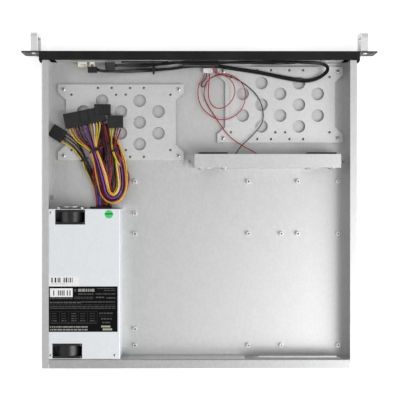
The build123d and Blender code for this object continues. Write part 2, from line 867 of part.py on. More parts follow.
# Mains inlet: a flanged shell with three blades
mouth_x = inlet_width / 2 - inlet_wall
mouth_z = inlet_height / 2 - inlet_wall
with BuildPart() as psu_inlet:
    with BuildSketch(across(psu_rear)):
        with Locations((inlet_x, inlet_z)):
            RectangleRounded(inlet_width - 2 * seat_gap, inlet_height - 2 * seat_gap, 2)
    extrude(amount=inlet_depth)
    with BuildSketch(across(psu_rear + inlet_plate)):
        with Locations((inlet_x, inlet_z)):
            RectangleRounded(inlet_width + 2 * inlet_flange, inlet_height + 2 * inlet_flange, 2.5)
    extrude(amount=inlet_plate)
    mouth_centre = (inlet_x, psu_rear + inlet_plate, inlet_z)
    with BuildSketch(Plane(origin=mouth_centre, x_dir=(1, 0, 0), z_dir=(0, -1, 0))):
        with BuildLine():
            FilletPolyline(
                (-mouth_x, mouth_z),
                (mouth_x, mouth_z),
                (mouth_x, -mouth_z + inlet_corner),
                (mouth_x - inlet_corner, -mouth_z),
                (-mouth_x + inlet_corner, -mouth_z),
                (-mouth_x, -mouth_z + inlet_corner),
                radius=1,
                close=True,
            )
        make_face()
    extrude(amount=inlet_depth - inlet_wall, mode=Mode.SUBTRACT)
    with BuildSketch(across(psu_rear)):
        with Locations((inlet_x, inlet_z)):
            with Locations((-7, -1), (0, 3), (7, -1)):
                Rectangle(2, 4.5)
    extrude(amount=inlet_depth)

save(psu_inlet, "psu_inlet")

# Finger guards over the power supply's fans: wire rings on two crossed wires, which end in legs
# and in eyes for the screws
guard_reach = fan_hole_spacing * 2**0.5 / 2
for (x, fan_start, face, side), name in zip(psu_fans, ("psu_guard_front", "psu_guard_rear")):
    with BuildPart() as guard:
        with BuildSketch(across(face)):
            with Locations((x, fan_z)):
                for turn in (45, 135):
                    Rectangle(2 * guard_reach, guard_wire, rotation=turn)
                Circle(guard_reach - guard_eye - guard_leg, mode=Mode.SUBTRACT)
                with GridLocations(fan_hole_spacing, fan_hole_spacing, 2, 2):
                    Circle(guard_eye)
                    Circle(screw_shank + screw_slack, mode=Mode.SUBTRACT)
        extrude(amount=-side * guard_wire)
        with BuildSketch(across(face + side * guard_wire)):
            with Locations((x, fan_z)):
                for turn in (45, 135):
                    Rectangle(2 * (guard_reach - guard_eye - screw_slack), guard_wire, rotation=turn)
        extrude(amount=-side * guard_wire)
        with BuildSketch(across(face + 2 * side * guard_wire)):
            with Locations((x, fan_z)):
                for ring in range(3):
                    radius = fan_bore - guard_rim_gap - ring * guard_pitch
                    Circle(radius + guard_wire / 2)
                    Circle(radius - guard_wire / 2, mode=Mode.SUBTRACT)
        extrude(amount=-side * guard_wire)
    save(guard, name)

with BuildPart() as guard_screws:
    for x, fan_start, face, side in psu_fans:
        for s in (-1, 1):
            offset_x = fan_hole_spacing / 2 * s
            place = (x + offset_x, face + side * guard_wire, fan_z + offset_x)
            screw(place, (0, side, 0), guard_wire + psu_sheet + fan_flange, guard_eye)

save(guard_screws, "psu_guard_screws")

# Cable grommet in the power supply's front wall
with BuildPart() as psu_grommet:
    with BuildSketch(across(psu_front)):
        with Locations((grommet_x, grommet_z)):
            RectangleRounded(grommet_width, grommet_height, 4)
    extrude(amount=grommet_proud)
    with BuildSketch(across(psu_front + psu_sheet)):
        with Locations((grommet_x, grommet_z)):
            RectangleRounded(grommet_width - 2 * grommet_wall, grommet_height - 2 * grommet_wall, 3)
    extrude(amount=psu_sheet)

save(psu_grommet, "psu_grommet")

# Front board: it stands behind the front wall and carries the sockets and two headers
board_rear = wall_rear + seat_gap + board_sheet
with BuildPart() as front_board:
    board_corner = (board_centre - board_half, wall_rear + seat_gap, board_low)
    box_between(board_corner, (board_centre + board_half, board_rear, board_high))

save(front_board, "front_board")

for x, name in zip(socket_places, ("front_socket_left", "front_socket_right")):
    with BuildPart() as socket:
        low = (x - socket_width / 2, case_front - socket_gap, socket_z - socket_height / 2)
        high = (x + socket_width / 2, wall_rear + seat_gap, socket_z + socket_height / 2)
        box_between(low, high)
        inner_low = (low[0] + 0.5, low[1] - 1, low[2] + 0.5)
        inner_high = (high[0] - 0.5, high[1] - 1.5, high[2] - 0.5)
        box_between(inner_low, inner_high, Mode.SUBTRACT)
        box_between((low[0] + 1.2, low[1] + 2, socket_z), (high[0] - 1.2, high[1] - 1, socket_z + 1.8))
    save(socket, name)

for offset, width, name in zip(header_offsets, header_widths, ("header_wide", "header_narrow")):
    x = board_centre + offset
    with BuildPart() as header:
        low = (x - width / 2, board_rear, header_z - header_half)
        high = (x + width / 2, board_rear + header_depth, header_z + header_half)
        box_between(low, high)
        inner_low = (low[0] + 1, board_rear + header_depth / 2, low[2] + 1)
        inner_high = (high[0] - 1, high[1] + 1, high[2] + 0.5)
        box_between(inner_low, inner_high, Mode.SUBTRACT)
    save(header, name)

# Switch housing behind the front wall, with bores for the buttons' stems
module_front = wall_rear + seat_gap
stem_end = module_front + 1.8
with BuildPart() as switch_housing:
    box_between(
        (module_left, module_front, module_low), (module_right, module_front + module_depth, module_high)
    )
    chamfer(switch_housing.edges().filter_by(Axis.X).group_by(Axis.Y)[-1], 1.2)
    with BuildSketch(across(stem_end + button_travel + 0.5)):
        with Locations((power_x, button_z), (reset_x, button_z)):
            Circle(stem_radius + stem_clearance)
    extrude(amount=stem_end + button_travel + 1.5 - module_front, mode=Mode.SUBTRACT)

save(switch_housing, "switch_housing")

for x, radius, name in ((power_x, power_radius, "power_button"), (reset_x, reset_radius, "reset_button")):
    with BuildPart() as button:
        with BuildSketch(across(case_front + button_cap)):
            with Locations((x, button_z)):
                Circle(radius)
        extrude(amount=button_cap + button_proud)
        fillet(button.edges().sort_by(Axis.Y)[0], 0.5)
        with BuildSketch(across(stem_end)):
            with Locations((x, button_z)):
                Circle(stem_radius)
        extrude(amount=stem_end - case_front - button_cap + 1)
    save(button, name)

with BuildPart() as light_pipes:
    with BuildSketch(across(module_front)):
        with Locations([(x, button_z) for x in light_places]):
            Circle(light_radius)
    extrude(amount=module_front - case_front + 0.5)

save(light_pipes, "light_pipes")

# White three-pin connector of the fan wires, lying on the floor
with BuildPart() as fan_connector:
    left = fan_plug_x - fan_plug_width / 2
    right = fan_plug_x + fan_plug_width / 2
    plug_front = wall_rear + fan_plug_gap
    plug_low = sheet + seat_gap
    plug_high = plug_low + fan_plug_height
    box_between((left, plug_front, plug_low), (right, plug_front + fan_plug_depth, plug_high))
    chamfer(fan_connector.edges().filter_by(Axis.Y).group_by(Axis.Z)[-1], 0.8)
    box_between(
        (left + fan_plug_wall, plug_front - 1, plug_low + fan_plug_wall),
        (right - fan_plug_wall, plug_front + fan_plug_wall, plug_high - fan_plug_wall),
        Mode.SUBTRACT,
    )

save(fan_connector, "fan_connector")


def bend_radii(route):
    """The radius of each of a route's corners: the largest that its two runs allow."""
    points = [Vector(*point) for point in route]
    radii = []
    for before, corner, after in zip(points, points[1:], points[2:]):
        run = min((corner - before).length, (after - corner).length)
        turn = (corner - before).get_angle(after - corner)
        radii.append(0.45 * run / tan(radians(turn / 2)))
    return radii


def lead(route, diameter, name):
    """A lead: one round tube along its route."""
    radii = bend_radii(route)
    with BuildPart() as piece:
        with BuildLine():
            line = FilletPolyline(*route, radius=radii)
        with BuildSketch(Plane(origin=line @ 0, z_dir=line % 0)):
            Circle(diameter / 2)
        sweep()
    save(piece, name)
    true_volume = pi * diameter**2 / 4 * line.length
    print(name, "length", round(line.length, 1), "volume share", round(piece.part.volume / true_volume, 4))
    print("  radii", [round(radius, 1) for radius in radii])


grommet_face = psu_front - grommet_proud
main_route = [
    (136, grommet_face, 9.6),
    (136, -22, 9.6),
    (138, -46, 10),
    (138.5, -68, 13.3),
    (138, -90, 13.9),
    (127.5, -98.6, 19.6),
    (117, -90, 24.6),
    (115, -70, 24.8),
    (112.5, -48, 24.6),
    (111.5, -24, 24.3),
    (125.5, -15.8, 24),
    (139.5, -24, 24.3),
    (140.5, -42, 24.6),
    (143.5, -60, 25.5),
    (146.6, -77, 25.4),
    (150, -91, 19.8),
    (153.6, -104, 13.4),
    (156.3, -117, 13.4),
]
side_route = [
    (124.6, grommet_face, 9.6),
    (124.6, -14.5, 9.6),
    (113, -18, 6),
    (103, -27, 4.8),
    (100, -43, 6.5),
    (107.5, -61, 11),
    (113, -78, 14),
    (115.2, -95, 12.4),
    (115.6, -112.5, 12),
]
corner_route = [
    (147, grommet_face, 9.6),
    (147, -18, 9.6),
    (147.8, -38, 10.4),
    (152.2, -58, 12.4),
    (160, -75.5, 13.6),
    (172, -90, 13),
    (187, -99.5, 12.8),
]
front_route = [
    (139.4, -191, 27),
    (132.5, -189.2, 23.2),
    (122.5, -189.2, 17.4),
    (107, -191, 12),
    (90, -192.4, 8.4),
    (70, -192.5, 6.5),
    (40, -193.5, 5),
    (14, -198.6, 5),
    (-8, -199.6, 6),
    (-24, -198.6, 10.8),
    (-44, -195.4, 11.2),
    (-66, -191.6, 11.6),
    (-94, -187, 10.8),
    (-124, -180.5, 10.8),
    (-150, -177, 10.9),
    (-168, -183, 13.4),
    (-176.5, -191.5, 22),
    (-172, -197.8, 32),
    (-156, -199.8, 38),
    (-130, -199.8, 38.5),
    (-100, -199.8, 38.2),
    (-70, -199.8, 38.1),
    (-40, -199.6, 38.3),
    (-10, -199.4, 38.6),
    (27, -199.5, 38.2),
    (40, -199.6, 27),
    (53, -199.5, 15),
    (76, -199.3, 9.6),
    (98, -198.3, 15.5),
    (116, -196.8, 22.5),
]
black_route = [
    (-38.4, -69, 26),
    (-44, -70, 25),
    (-49.5, -76, 20),
    (-56, -86.5, 14),
    (-70, -99, 10.8),
    (-86.6, -116.9, 10.2),
    (-89.3, -135, 10),
    (-81, -158.4, 10),
    (-56, -178.5, 15.4),
    (-31, -187, 13),
    (-17.4, -183.3, 9),
    (-9.5, -176, 7),
    (-5.6, -169, 5),
    (-2.2, -171.5, 4.4),
    (-4.4, -176.8, 4.2),
    (-10, -181.8, 4.4),
    (-10, -188.9, 5),
]
red_route = [
    (-84, bracket_rear - sheet - seat_gap, 28),
    (-84.5, -68, 26.5),
    (-79, -77, 22),
    (-66, -84, 20),
    (-52, -92, 19),
    (-41, -101, 13),
    (-31.2, -114.2, 7),
    (-20.5, -130.8, 4.4),
    (-10.5, -146, 4),
    (-5.6, -158.4, 5.4),
    (-8, -173, 11),
    (-18, -184.5, 14.6),
    (-37, -188, 18),
    (-56, -178.6, 20),
    (-64.4, -163, 16.4),
    (-62, -143, 12.6),
    (-49.2, -128, 11.6),
    (-28.5, -122, 11.8),
    (-8, -134, 10),
    (1.4, -150, 8),
    (2.4, -166, 7),
    (0, -175.5, 6.2),
    (-6.6, -181, 5.4),
    (-6.6, -188.9, 5),
]
light_route = [
    (-14, -188.9, 5),
    (-14, -180, 5),
    (-12, -165, 9),
    (-13, -150, 13),
    (-21, -139, 15.4),
    (-35.4, -140, 16.4),
    (-47.6, -153, 18),
    (-49.4, -168, 22),
    (-40.5, -181, 24.4),
    (-27, -186.4, 23),
    (-18.4, -189.6, 21.6),
    (-17.6, module_front + module_depth + seat_gap, 21.6),
]

lead(main_route, main_lead, "main_lead")
lead(side_route, side_lead, "drive_lead")
lead(corner_route, corner_lead, "processor_lead")
lead(front_route, front_lead, "front_lead")
lead(black_route, fan_lead, "fan_wire_black")
lead(red_route, fan_lead, "fan_wire_red")
lead(light_route, fan_lead, "light_wire_red")


def connector(route, length, width, height, name, latch=0.0):
    """A connector housing on the end of a lead, wide across the case, with a latch on its top."""
    end = Vector(*route[-1])
    ahead = (end - Vector(*route[-2])).normalized()
    sideways = Vector(0, 0, 1).cross(ahead)
    with BuildPart() as piece:
        with BuildSketch(Plane(origin=end + ahead * seat_gap / 2, x_dir=sideways, z_dir=ahead)):
            RectangleRounded(width, height, 1)
        extrude(amount=length)
        far = Plane(origin=end + ahead * (length + seat_gap / 2), x_dir=sideways, z_dir=ahead)
        with BuildSketch(far):
            Rectangle(width - 2, height - 2)
        extrude(amount=-1.5, mode=Mode.SUBTRACT)
        if latch:
            with BuildSketch(far.offset(-length * 0.8)):
                with Locations((0, height / 2 + 1.6)):
                    Rectangle(latch, 1.2)
            extrude(amount=length * 0.7)
            with BuildSketch(far.offset(-length * 0.55)):
                with Locations((0, height / 2 + 0.9)):
                    Rectangle(latch, 2.2)
            extrude(amount=2)
    save(piece, name)


connector(main_route, *board_plug, "board_connector", board_latch)
connector(side_route, *drive_plug, "drive_connector")
connector(corner_route, *processor_plug, "processor_connector", processor_latch)
connector(front_route, *front_plug, "front_lead_plug")

# Cable ties: a strap ring round each bundle, and one round both passes of the front lead
with BuildPart() as cable_ties:
    for route, run, diameter in (
        (main_route, 13, main_lead),
        (main_route, 6, main_lead),
        (corner_route, 3, corner_lead),
    ):
        start = Vector(*route[run])
        along = Vector(*route[run + 1]) - start
        with Locations(Plane(origin=start + along / 2, z_dir=along)):
            Cylinder(diameter / 2 + tie_slack + tie_sheet, tie_width)
            Cylinder(diameter / 2 + tie_slack, 2 * tie_width, mode=Mode.SUBTRACT)
    with BuildSketch(Plane.YZ.offset(front_tie_x - tie_width / 2)):
        with Locations((front_tie_y, front_tie_z)):
            span = front_lead / 2 + tie_slack
            SlotCenterToCenter(front_tie_length, 2 * (span + tie_sheet), rotation=front_tie_turn)
            SlotCenterToCenter(front_tie_length, 2 * span, rotation=front_tie_turn, mode=Mode.SUBTRACT)
    extrude(amount=tie_width)

save(cable_ties, "cable_ties")
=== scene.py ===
import math
import random

import bpy
from mathutils import Matrix, Vector


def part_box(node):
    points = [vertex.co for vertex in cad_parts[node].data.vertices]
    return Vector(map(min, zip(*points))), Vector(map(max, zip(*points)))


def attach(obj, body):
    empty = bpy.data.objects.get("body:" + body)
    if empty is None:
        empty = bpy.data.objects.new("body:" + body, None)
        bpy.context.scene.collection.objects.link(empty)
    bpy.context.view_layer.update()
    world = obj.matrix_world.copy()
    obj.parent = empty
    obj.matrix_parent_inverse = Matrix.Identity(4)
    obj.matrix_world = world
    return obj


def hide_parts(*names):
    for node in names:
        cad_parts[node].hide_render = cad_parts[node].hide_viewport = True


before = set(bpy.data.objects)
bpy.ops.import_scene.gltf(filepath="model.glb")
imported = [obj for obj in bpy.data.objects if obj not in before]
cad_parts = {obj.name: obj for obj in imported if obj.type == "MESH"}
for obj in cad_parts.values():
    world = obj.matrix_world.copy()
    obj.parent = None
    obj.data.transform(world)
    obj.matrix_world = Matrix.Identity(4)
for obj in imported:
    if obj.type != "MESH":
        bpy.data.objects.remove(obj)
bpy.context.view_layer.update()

# The tub is one sheet of galvanised steel, 1 mm thick: floor, side walls with a flange turned
# in at the top, and a front wall. It is punched flat and folded. The cover over the card slot is
# of the same sheet, and the rear panel of a duller one, folded and screwed in.
mm = 0.001
GALVANISED = (0.69, 0.695, 0.69, 1)
GALVANISED_DARK = (0.63, 0.635, 0.63, 1)
REAR_SHEET = (0.56, 0.565, 0.56, 1)
REAR_SHADE = (0.48, 0.485, 0.48, 1)
SPANGLE_SCALE = 230
SHEET_CLOUD_SCALE = 55
ROLL_LINE_SCALE = 900
SHEET_ROUGHNESS = (0.39, 0.5)


def new_finish(name, metallic, roughness):
    """A material with its shader; the parts of its pattern are joined on afterwards."""
    finish = bpy.data.materials.new(name)
    finish.use_nodes = True
    nodes = finish.node_tree.nodes
    shader = nodes["Principled BSDF"]
    shader.inputs["Metallic"].default_value = metallic
    shader.inputs["Roughness"].default_value = roughness
    return finish, nodes, finish.node_tree.links, shader


def pattern(nodes, links, kind, scale, stretch=(1, 1, 1), detail=4):
    """A noise or cell pattern on the piece's own coordinates, stretched along its axes."""
    place = nodes.new("ShaderNodeTexCoord")
    mapping = nodes.new("ShaderNodeMapping")
    mapping.inputs["Scale"].default_value = stretch
    links.new(place.outputs["Object"], mapping.inputs["Vector"])
    texture = nodes.new(kind)
    texture.inputs["Scale"].default_value = scale
    if kind == "ShaderNodeTexNoise":
        texture.inputs["Detail"].default_value = detail
    links.new(mapping.outputs["Vector"], texture.inputs["Vector"])
    return texture.outputs[0]


def ramp(nodes, links, value, low, high, start=0.3, end=0.7):
    """A value turned into a colour between two colours."""
    colours = nodes.new("ShaderNodeValToRGB")
    colours.color_ramp.elements[0].position = start
    colours.color_ramp.elements[0].color = low
    colours.color_ramp.elements[1].position = end
    colours.color_ramp.elements[1].color = high
    links.new(value, colours.inputs["Fac"])
    return colours.outputs["Color"]


def spread(nodes, links, value, low, high):
    """A value from 0 to 1 spread between two others, for roughness or height."""
    scale = nodes.new("ShaderNodeMapRange")
    scale.inputs["To Min"].default_value = low
    scale.inputs["To Max"].default_value = high
    links.new(value, scale.inputs["Value"])
    return scale.outputs["Result"]


def bump(nodes, links, shader, height, strength, depth):
    """Fine relief from a pattern."""
    relief = nodes.new("ShaderNodeBump")
    relief.inputs["Strength"].default_value = strength
    relief.inputs["Distance"].default_value = depth
    links.new(height, relief.inputs["Height"])
    links.new(relief.outputs["Normal"], shader.inputs["Normal"])


def galvanised_sheet(name, dark, light, roll=(1, 0.06, 1), metallic=0.8):
    """Zinc-coated sheet: small cloudy spangles, and fine lines along the way it was rolled."""
    finish, nodes, links, shader = new_finish(name, metallic, 0.45)
    spangle = pattern(nodes, links, "ShaderNodeTexVoronoi", SPANGLE_SCALE)
    cloud = pattern(nodes, links, "ShaderNodeTexNoise", SHEET_CLOUD_SCALE, detail=6)
    lines = pattern(nodes, links, "ShaderNodeTexNoise", ROLL_LINE_SCALE, stretch=roll, detail=3)
    mixed = nodes.new("ShaderNodeMix")
    mixed.inputs["Factor"].default_value = 0.55
    links.new(cloud, mixed.inputs["A"])
    links.new(spangle, mixed.inputs["B"])
    grain = nodes.new("ShaderNodeMix")
    grain.inputs["Factor"].default_value = 0.4
    links.new(mixed.outputs["Result"], grain.inputs["A"])
    links.new(lines, grain.inputs["B"])
    shade = ramp(nodes, links, grain.outputs["Result"], dark, light, 0.25, 0.62)
    links.new(shade, shader.inputs["Base Color"])
    links.new(spread(nodes, links, grain.outputs["Result"], *SHEET_ROUGHNESS), shader.inputs["Roughness"])
    bump(nodes, links, shader, lines, 0.12, 0.02 * mm)
    return finish


def dress(finish, *names):
    """Gives a finish to parts that keep their own shape."""
    for name in names:
        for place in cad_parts[name].material_slots:
            place.material = finish


sheet_steel = galvanised_sheet("galvanised sheet", GALVANISED_DARK, GALVANISED)
dress(sheet_steel, "chassis_tub", "slot_cover")
dress(galvanised_sheet("galvanised rear sheet", REAR_SHADE, REAR_SHEET), "rear_panel")

# The front panel is an aluminium plate in fine-textured black paint, with the rack ears at its
# ends, whose paint is made paler as painted light, standing in for the light and sheen they catch.
# Its rear edge shows as a thin lip over the front wall of the tub.
PANEL_BLACK = (0.007, 0.007, 0.0075, 1)
PANEL_WORN = (0.014, 0.014, 0.015, 1)
# Paler blacks for the rack ears: painted light and sheen, not a colour of the paint.
EAR_PAINTED_LIGHT_DARK = (0.045, 0.045, 0.046, 1)
EAR_PAINTED_LIGHT_PALE = (0.075, 0.075, 0.076, 1)
EAR_START = 0.217
PEEL_SCALE = 1400
PAINT_CLOUD_SCALE = 40


def panel_paint(name):
    """Powder paint: fine orange-peel relief, a slightly uneven shine, and paler ears towards both ends as
    painted light.
    """
    finish, nodes, links, shader = new_finish(name, 0.0, 0.55)
    shader.inputs["Specular IOR Level"].default_value = 0.22
    peel = pattern(nodes, links, "ShaderNodeTexNoise", PEEL_SCALE, detail=2)
    cloud = pattern(nodes, links, "ShaderNodeTexNoise", PAINT_CLOUD_SCALE)
    place = nodes.new("ShaderNodeTexCoord")
    split = nodes.new("ShaderNodeSeparateXYZ")
    links.new(place.outputs["Object"], split.inputs[0])
    across = nodes.new("ShaderNodeMath")
    across.operation = "ABSOLUTE"
    links.new(split.outputs["X"], across.inputs[0])
    # Past EAR_START the ears take the paler colours: painted light standing in for the light they catch.
    beyond = nodes.new("ShaderNodeMath")
    beyond.operation = "GREATER_THAN"
    beyond.inputs[1].default_value = EAR_START
    links.new(across.outputs[0], beyond.inputs[0])
    paint = nodes.new("ShaderNodeMix")
    paint.data_type = "RGBA"
    links.new(beyond.outputs[0], paint.inputs["Factor"])
    links.new(ramp(nodes, links, cloud, PANEL_BLACK, PANEL_WORN), paint.inputs["A"])
    links.new(ramp(nodes, links, cloud, EAR_PAINTED_LIGHT_DARK, EAR_PAINTED_LIGHT_PALE), paint.inputs["B"])
    links.new(paint.outputs["Result"], shader.inputs["Base Color"])
    links.new(spread(nodes, links, cloud, 0.46, 0.62), shader.inputs["Roughness"])
    bump(nodes, links, shader, peel, 0.35, 0.05 * mm)
    return finish


dress(panel_paint("black panel paint"), "front_panel")

# The two handles are bars of satin aluminium, bent or cast to a bow and screwed on from the
# rear of the ears.
HANDLE_LIGHT = (0.97, 0.972, 0.975, 1)
HANDLE_SHADE = (0.9, 0.903, 0.906, 1)
HANDLE_METALLIC = 0.5
ALONG_HANDLE = (1, 1, 0.05)


def satin_metal(name, dark, light, scale, roughness, stretch=(1, 1, 1), metallic=0.85):
    """Bright metal with a fine directional grain."""
    finish, nodes, links, shader = new_finish(name, metallic, roughness)
    grain = pattern(nodes, links, "ShaderNodeTexNoise", scale, stretch=stretch)
    links.new(ramp(nodes, links, grain, dark, light), shader.inputs["Base Color"])
    links.new(spread(nodes, links, grain, roughness - 0.08, roughness + 0.1), shader.inputs["Roughness"])
    bump(nodes, links, shader, grain, 0.1, 0.02 * mm)
    return finish


satin = satin_metal("satin handle", HANDLE_SHADE, HANDLE_LIGHT, 600, 0.34, ALONG_HANDLE, HANDLE_METALLIC)
dress(satin, "handle_left", "handle_right")

# The drive trays are pierced plates of a brighter coated sheet on short posts. The fan bracket
# is of the tub's sheet, an upright wall with a flange at its top and feet at its ends.
TRAY_SHADE = (0.73, 0.735, 0.73, 1)
TRAY_LIGHT = (0.79, 0.795, 0.79, 1)
ACROSS_TRAY = (0.06, 1, 1)
tray_steel = galvanised_sheet("galvanised tray sheet", TRAY_SHADE, TRAY_LIGHT, ACROSS_TRAY)
dress(tray_steel, "drive_tray_left", "drive_tray_right")
dress(sheet_steel, "fan_bracket")

# Screws, posts and standoffs are plated steel. Each screw has a pan head with a cross recess,
# driven home at an angle of its own; the posts and standoffs are turned and pressed in.
PLATED = (0.86, 0.86, 0.84, 1)
PLATED_SHADE = (0.62, 0.62, 0.6, 1)
SCREW_HEAD = 2.9
SCREW_HEAD_HEIGHT = 1.7
SCREW_SHANK = 1.4
COVER_SCREW_HEAD = 1.9
COVER_SCREW_HEIGHT = 0.8
GUARD_SCREW_HEAD = 2.2
HANDLE_SCREW_HEAD = 3.25
TRAY_SCREW_INSET = (7.5, 6.5)
FAN_SCREW_SPREAD = 16
UP, TO_REAR, TO_FRONT = (0, 0, 0), (-math.pi / 2, 0, 0), (math.pi / 2, 0, 0)
plated = satin_metal("plated screw", PLATED_SHADE, PLATED, 900, 0.28)
dress(plated, "tray_posts", "stop_pin")
# The standoffs get a paler copy of the plated steel: a painted highlight standing in for the glints on their
# tops.
dress(satin_metal("standoff painted highlight", (0.9, 0.9, 0.89, 1), (0.97, 0.97, 0.96, 1), 700, 0.4), "board_standoffs")


def new_tree(name, numbers, whole=()):
    """An empty tree of geometry nodes with named inputs, and a way to add a node to it."""
    tree = bpy.data.node_groups.new(name, "GeometryNodeTree")
    tree.interface.new_socket("Geometry", in_out="INPUT", socket_type="NodeSocketGeometry")
    for label in numbers:
        tree.interface.new_socket(label, in_out="INPUT", socket_type="NodeSocketFloat")
    for label in whole:
        tree.interface.new_socket(label, in_out="INPUT", socket_type="NodeSocketInt")
    tree.interface.new_socket("Facing", in_out="INPUT", socket_type="NodeSocketVector")
    tree.interface.new_socket("Finish", in_out="INPUT", socket_type="NodeSocketMaterial")
    tree.interface.new_socket("Geometry", in_out="OUTPUT", socket_type="NodeSocketGeometry")
    given = tree.nodes.new("NodeGroupInput").outputs

    def add(kind, settings=None, **joined):
        node = tree.nodes.new("GeometryNode" + kind if kind[:5] != "Shade" else "ShaderNode" + kind[5:])
        for key, value in (settings or {}).items():
            setattr(node, key, value)
        for key, value in joined.items():
            numbered = key[:2] == "in" and key[2:].isdigit()
            socket = node.inputs[int(key[2:]) if numbered else key.replace("_", " ")]
            if isinstance(value, bpy.types.NodeSocket):
                tree.links.new(value, socket)
            else:
                socket.default_value = value
        return node

    return tree, given, add


def screw_tree():
    """A pan-head screw with a cross recess on each point, each turned by its own seeded angle."""
    sizes = ("Head Radius", "Head Height", "Shank Radius", "Shank Length")
    tree, given, add = new_tree("pan-head screws", sizes, ("Seed",))

    def times(value, factor):
        return add("ShadeMath", {"operation": "MULTIPLY"}, in0=value, in1=factor).outputs[0]

    def upward(height):
        return add("ShadeCombineXYZ", in2=height).outputs[0]

    radius, height = given["Head Radius"], given["Head Height"]
    rim = add("MeshCylinder", Vertices=28, Radius=radius, Depth=times(height, 0.5))
    seated = add("Transform", Geometry=rim.outputs["Mesh"], Translation=upward(times(height, 0.25)))
    head, top = seated.outputs[0], rim.outputs["Top"]
    for rise, narrowing in ((0.25, 0.94), (0.15, 0.86), (0.1, 0.7)):
        raised = add("ExtrudeMesh", {"mode": "FACES"}, Mesh=head, Selection=top,
                     Offset_Scale=times(height, rise))
        narrowed = add("ScaleElements", {"domain": "FACE"}, Geometry=raised.outputs["Mesh"],
                       Selection=raised.outputs["Top"], Scale=narrowing)
        head, top = narrowed.outputs[0], raised.outputs["Top"]
    slots = add("JoinGeometry")
    for wide, narrow in ((1.15, 0.26), (0.26, 1.15)):
        size = add("ShadeCombineXYZ", in0=times(radius, wide), in1=times(radius, narrow), in2=height)
        bar = add("MeshCube", Size=size.outputs[0])
        lifted = add("Transform", Geometry=bar.outputs["Mesh"], Translation=upward(height))
        tree.links.new(lifted.outputs[0], slots.inputs[0])
    recessed = add("MeshBoolean", {"operation": "DIFFERENCE"}, in0=head)
    tree.links.new(slots.outputs[0], recessed.inputs[1])
    length = given["Shank Length"]
    shank = add("MeshCylinder", Vertices=12, Radius=given["Shank Radius"], Depth=length)
    sunk = add("Transform", Geometry=shank.outputs["Mesh"], Translation=upward(times(length, -0.5)))
    screw = add("JoinGeometry")
    tree.links.new(recessed.outputs[0], screw.inputs[0])
    tree.links.new(sunk.outputs[0], screw.inputs[0])
    facing = tree.nodes.new("FunctionNodeEulerToRotation")
    tree.links.new(given["Facing"], facing.inputs[0])
    chance = tree.nodes.new("FunctionNodeRandomValue")
    chance.data_type = "FLOAT"
    chance.inputs[3].default_value = 2 * math.pi
    tree.links.new(given["Seed"], chance.inputs["Seed"])
    stood = add("InstanceOnPoints", Points=given["Geometry"], Instance=screw.outputs[0],
                Rotation=facing.outputs[0])
    turned = add("RotateInstances", Instances=stood.outputs[0], Rotation=upward(chance.outputs[1]))
    real = add("RealizeInstances", Geometry=turned.outputs[0])
    finished = add("SetMaterial", Geometry=real.outputs[0], Material=given["Finish"])
    tree.links.new(finished.outputs[0], tree.nodes.new("NodeGroupOutput").inputs[0])
    return tree


def repeated(name, tree, places, settings):
    """Runs a tree on a set of places, in millimetres, and keeps the result as a plain mesh."""
    mesh = bpy.data.meshes.new(name + "_places")
    mesh.from_pydata([[part * mm for part in place] for place in places], [], [])
    holder = bpy.data.objects.new(name + "_places", mesh)
    bpy.context.scene.collection.objects.link(holder)
    modifier = holder.modifiers.new("repeat", "NODES")
    modifier.node_group = tree
    for item in tree.interface.items_tree:
        if item.in_out == "INPUT" and item.name in settings:
            modifier[item.identifier] = settings[item.name]
    result = bpy.data.meshes.new_from_object(holder.evaluated_get(bpy.context.evaluated_depsgraph_get()))
    bpy.data.objects.remove(holder)
    piece = bpy.data.objects.new(name, result)
    bpy.context.scene.collection.objects.link(piece)
    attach(piece, "case")
    return piece


def middle(name):
    """The middle of a part's box, in millimetres."""
    low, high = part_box(name)
    return [(a + b) / 2 / mm for a, b in zip(low, high)]


tray_places = []
for name in ("drive_tray_left", "drive_tray_right"):
    low, high = [[part / mm for part in corner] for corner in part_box(name)]
    for x in (low[0] + TRAY_SCREW_INSET[0], high[0] - TRAY_SCREW_INSET[0]):
        for y in (low[1] + TRAY_SCREW_INSET[1], high[1] - TRAY_SCREW_INSET[1]):
            tray_places.append((x, y, high[2]))


def fan_places(names, y):
    """The four screw places of each fan, in the plane y."""
    sides = (-FAN_SCREW_SPREAD, FAN_SCREW_SPREAD)
    return [(middle(name)[0] + x, y, middle(name)[2] + z) for name in names for x in sides for z in sides]


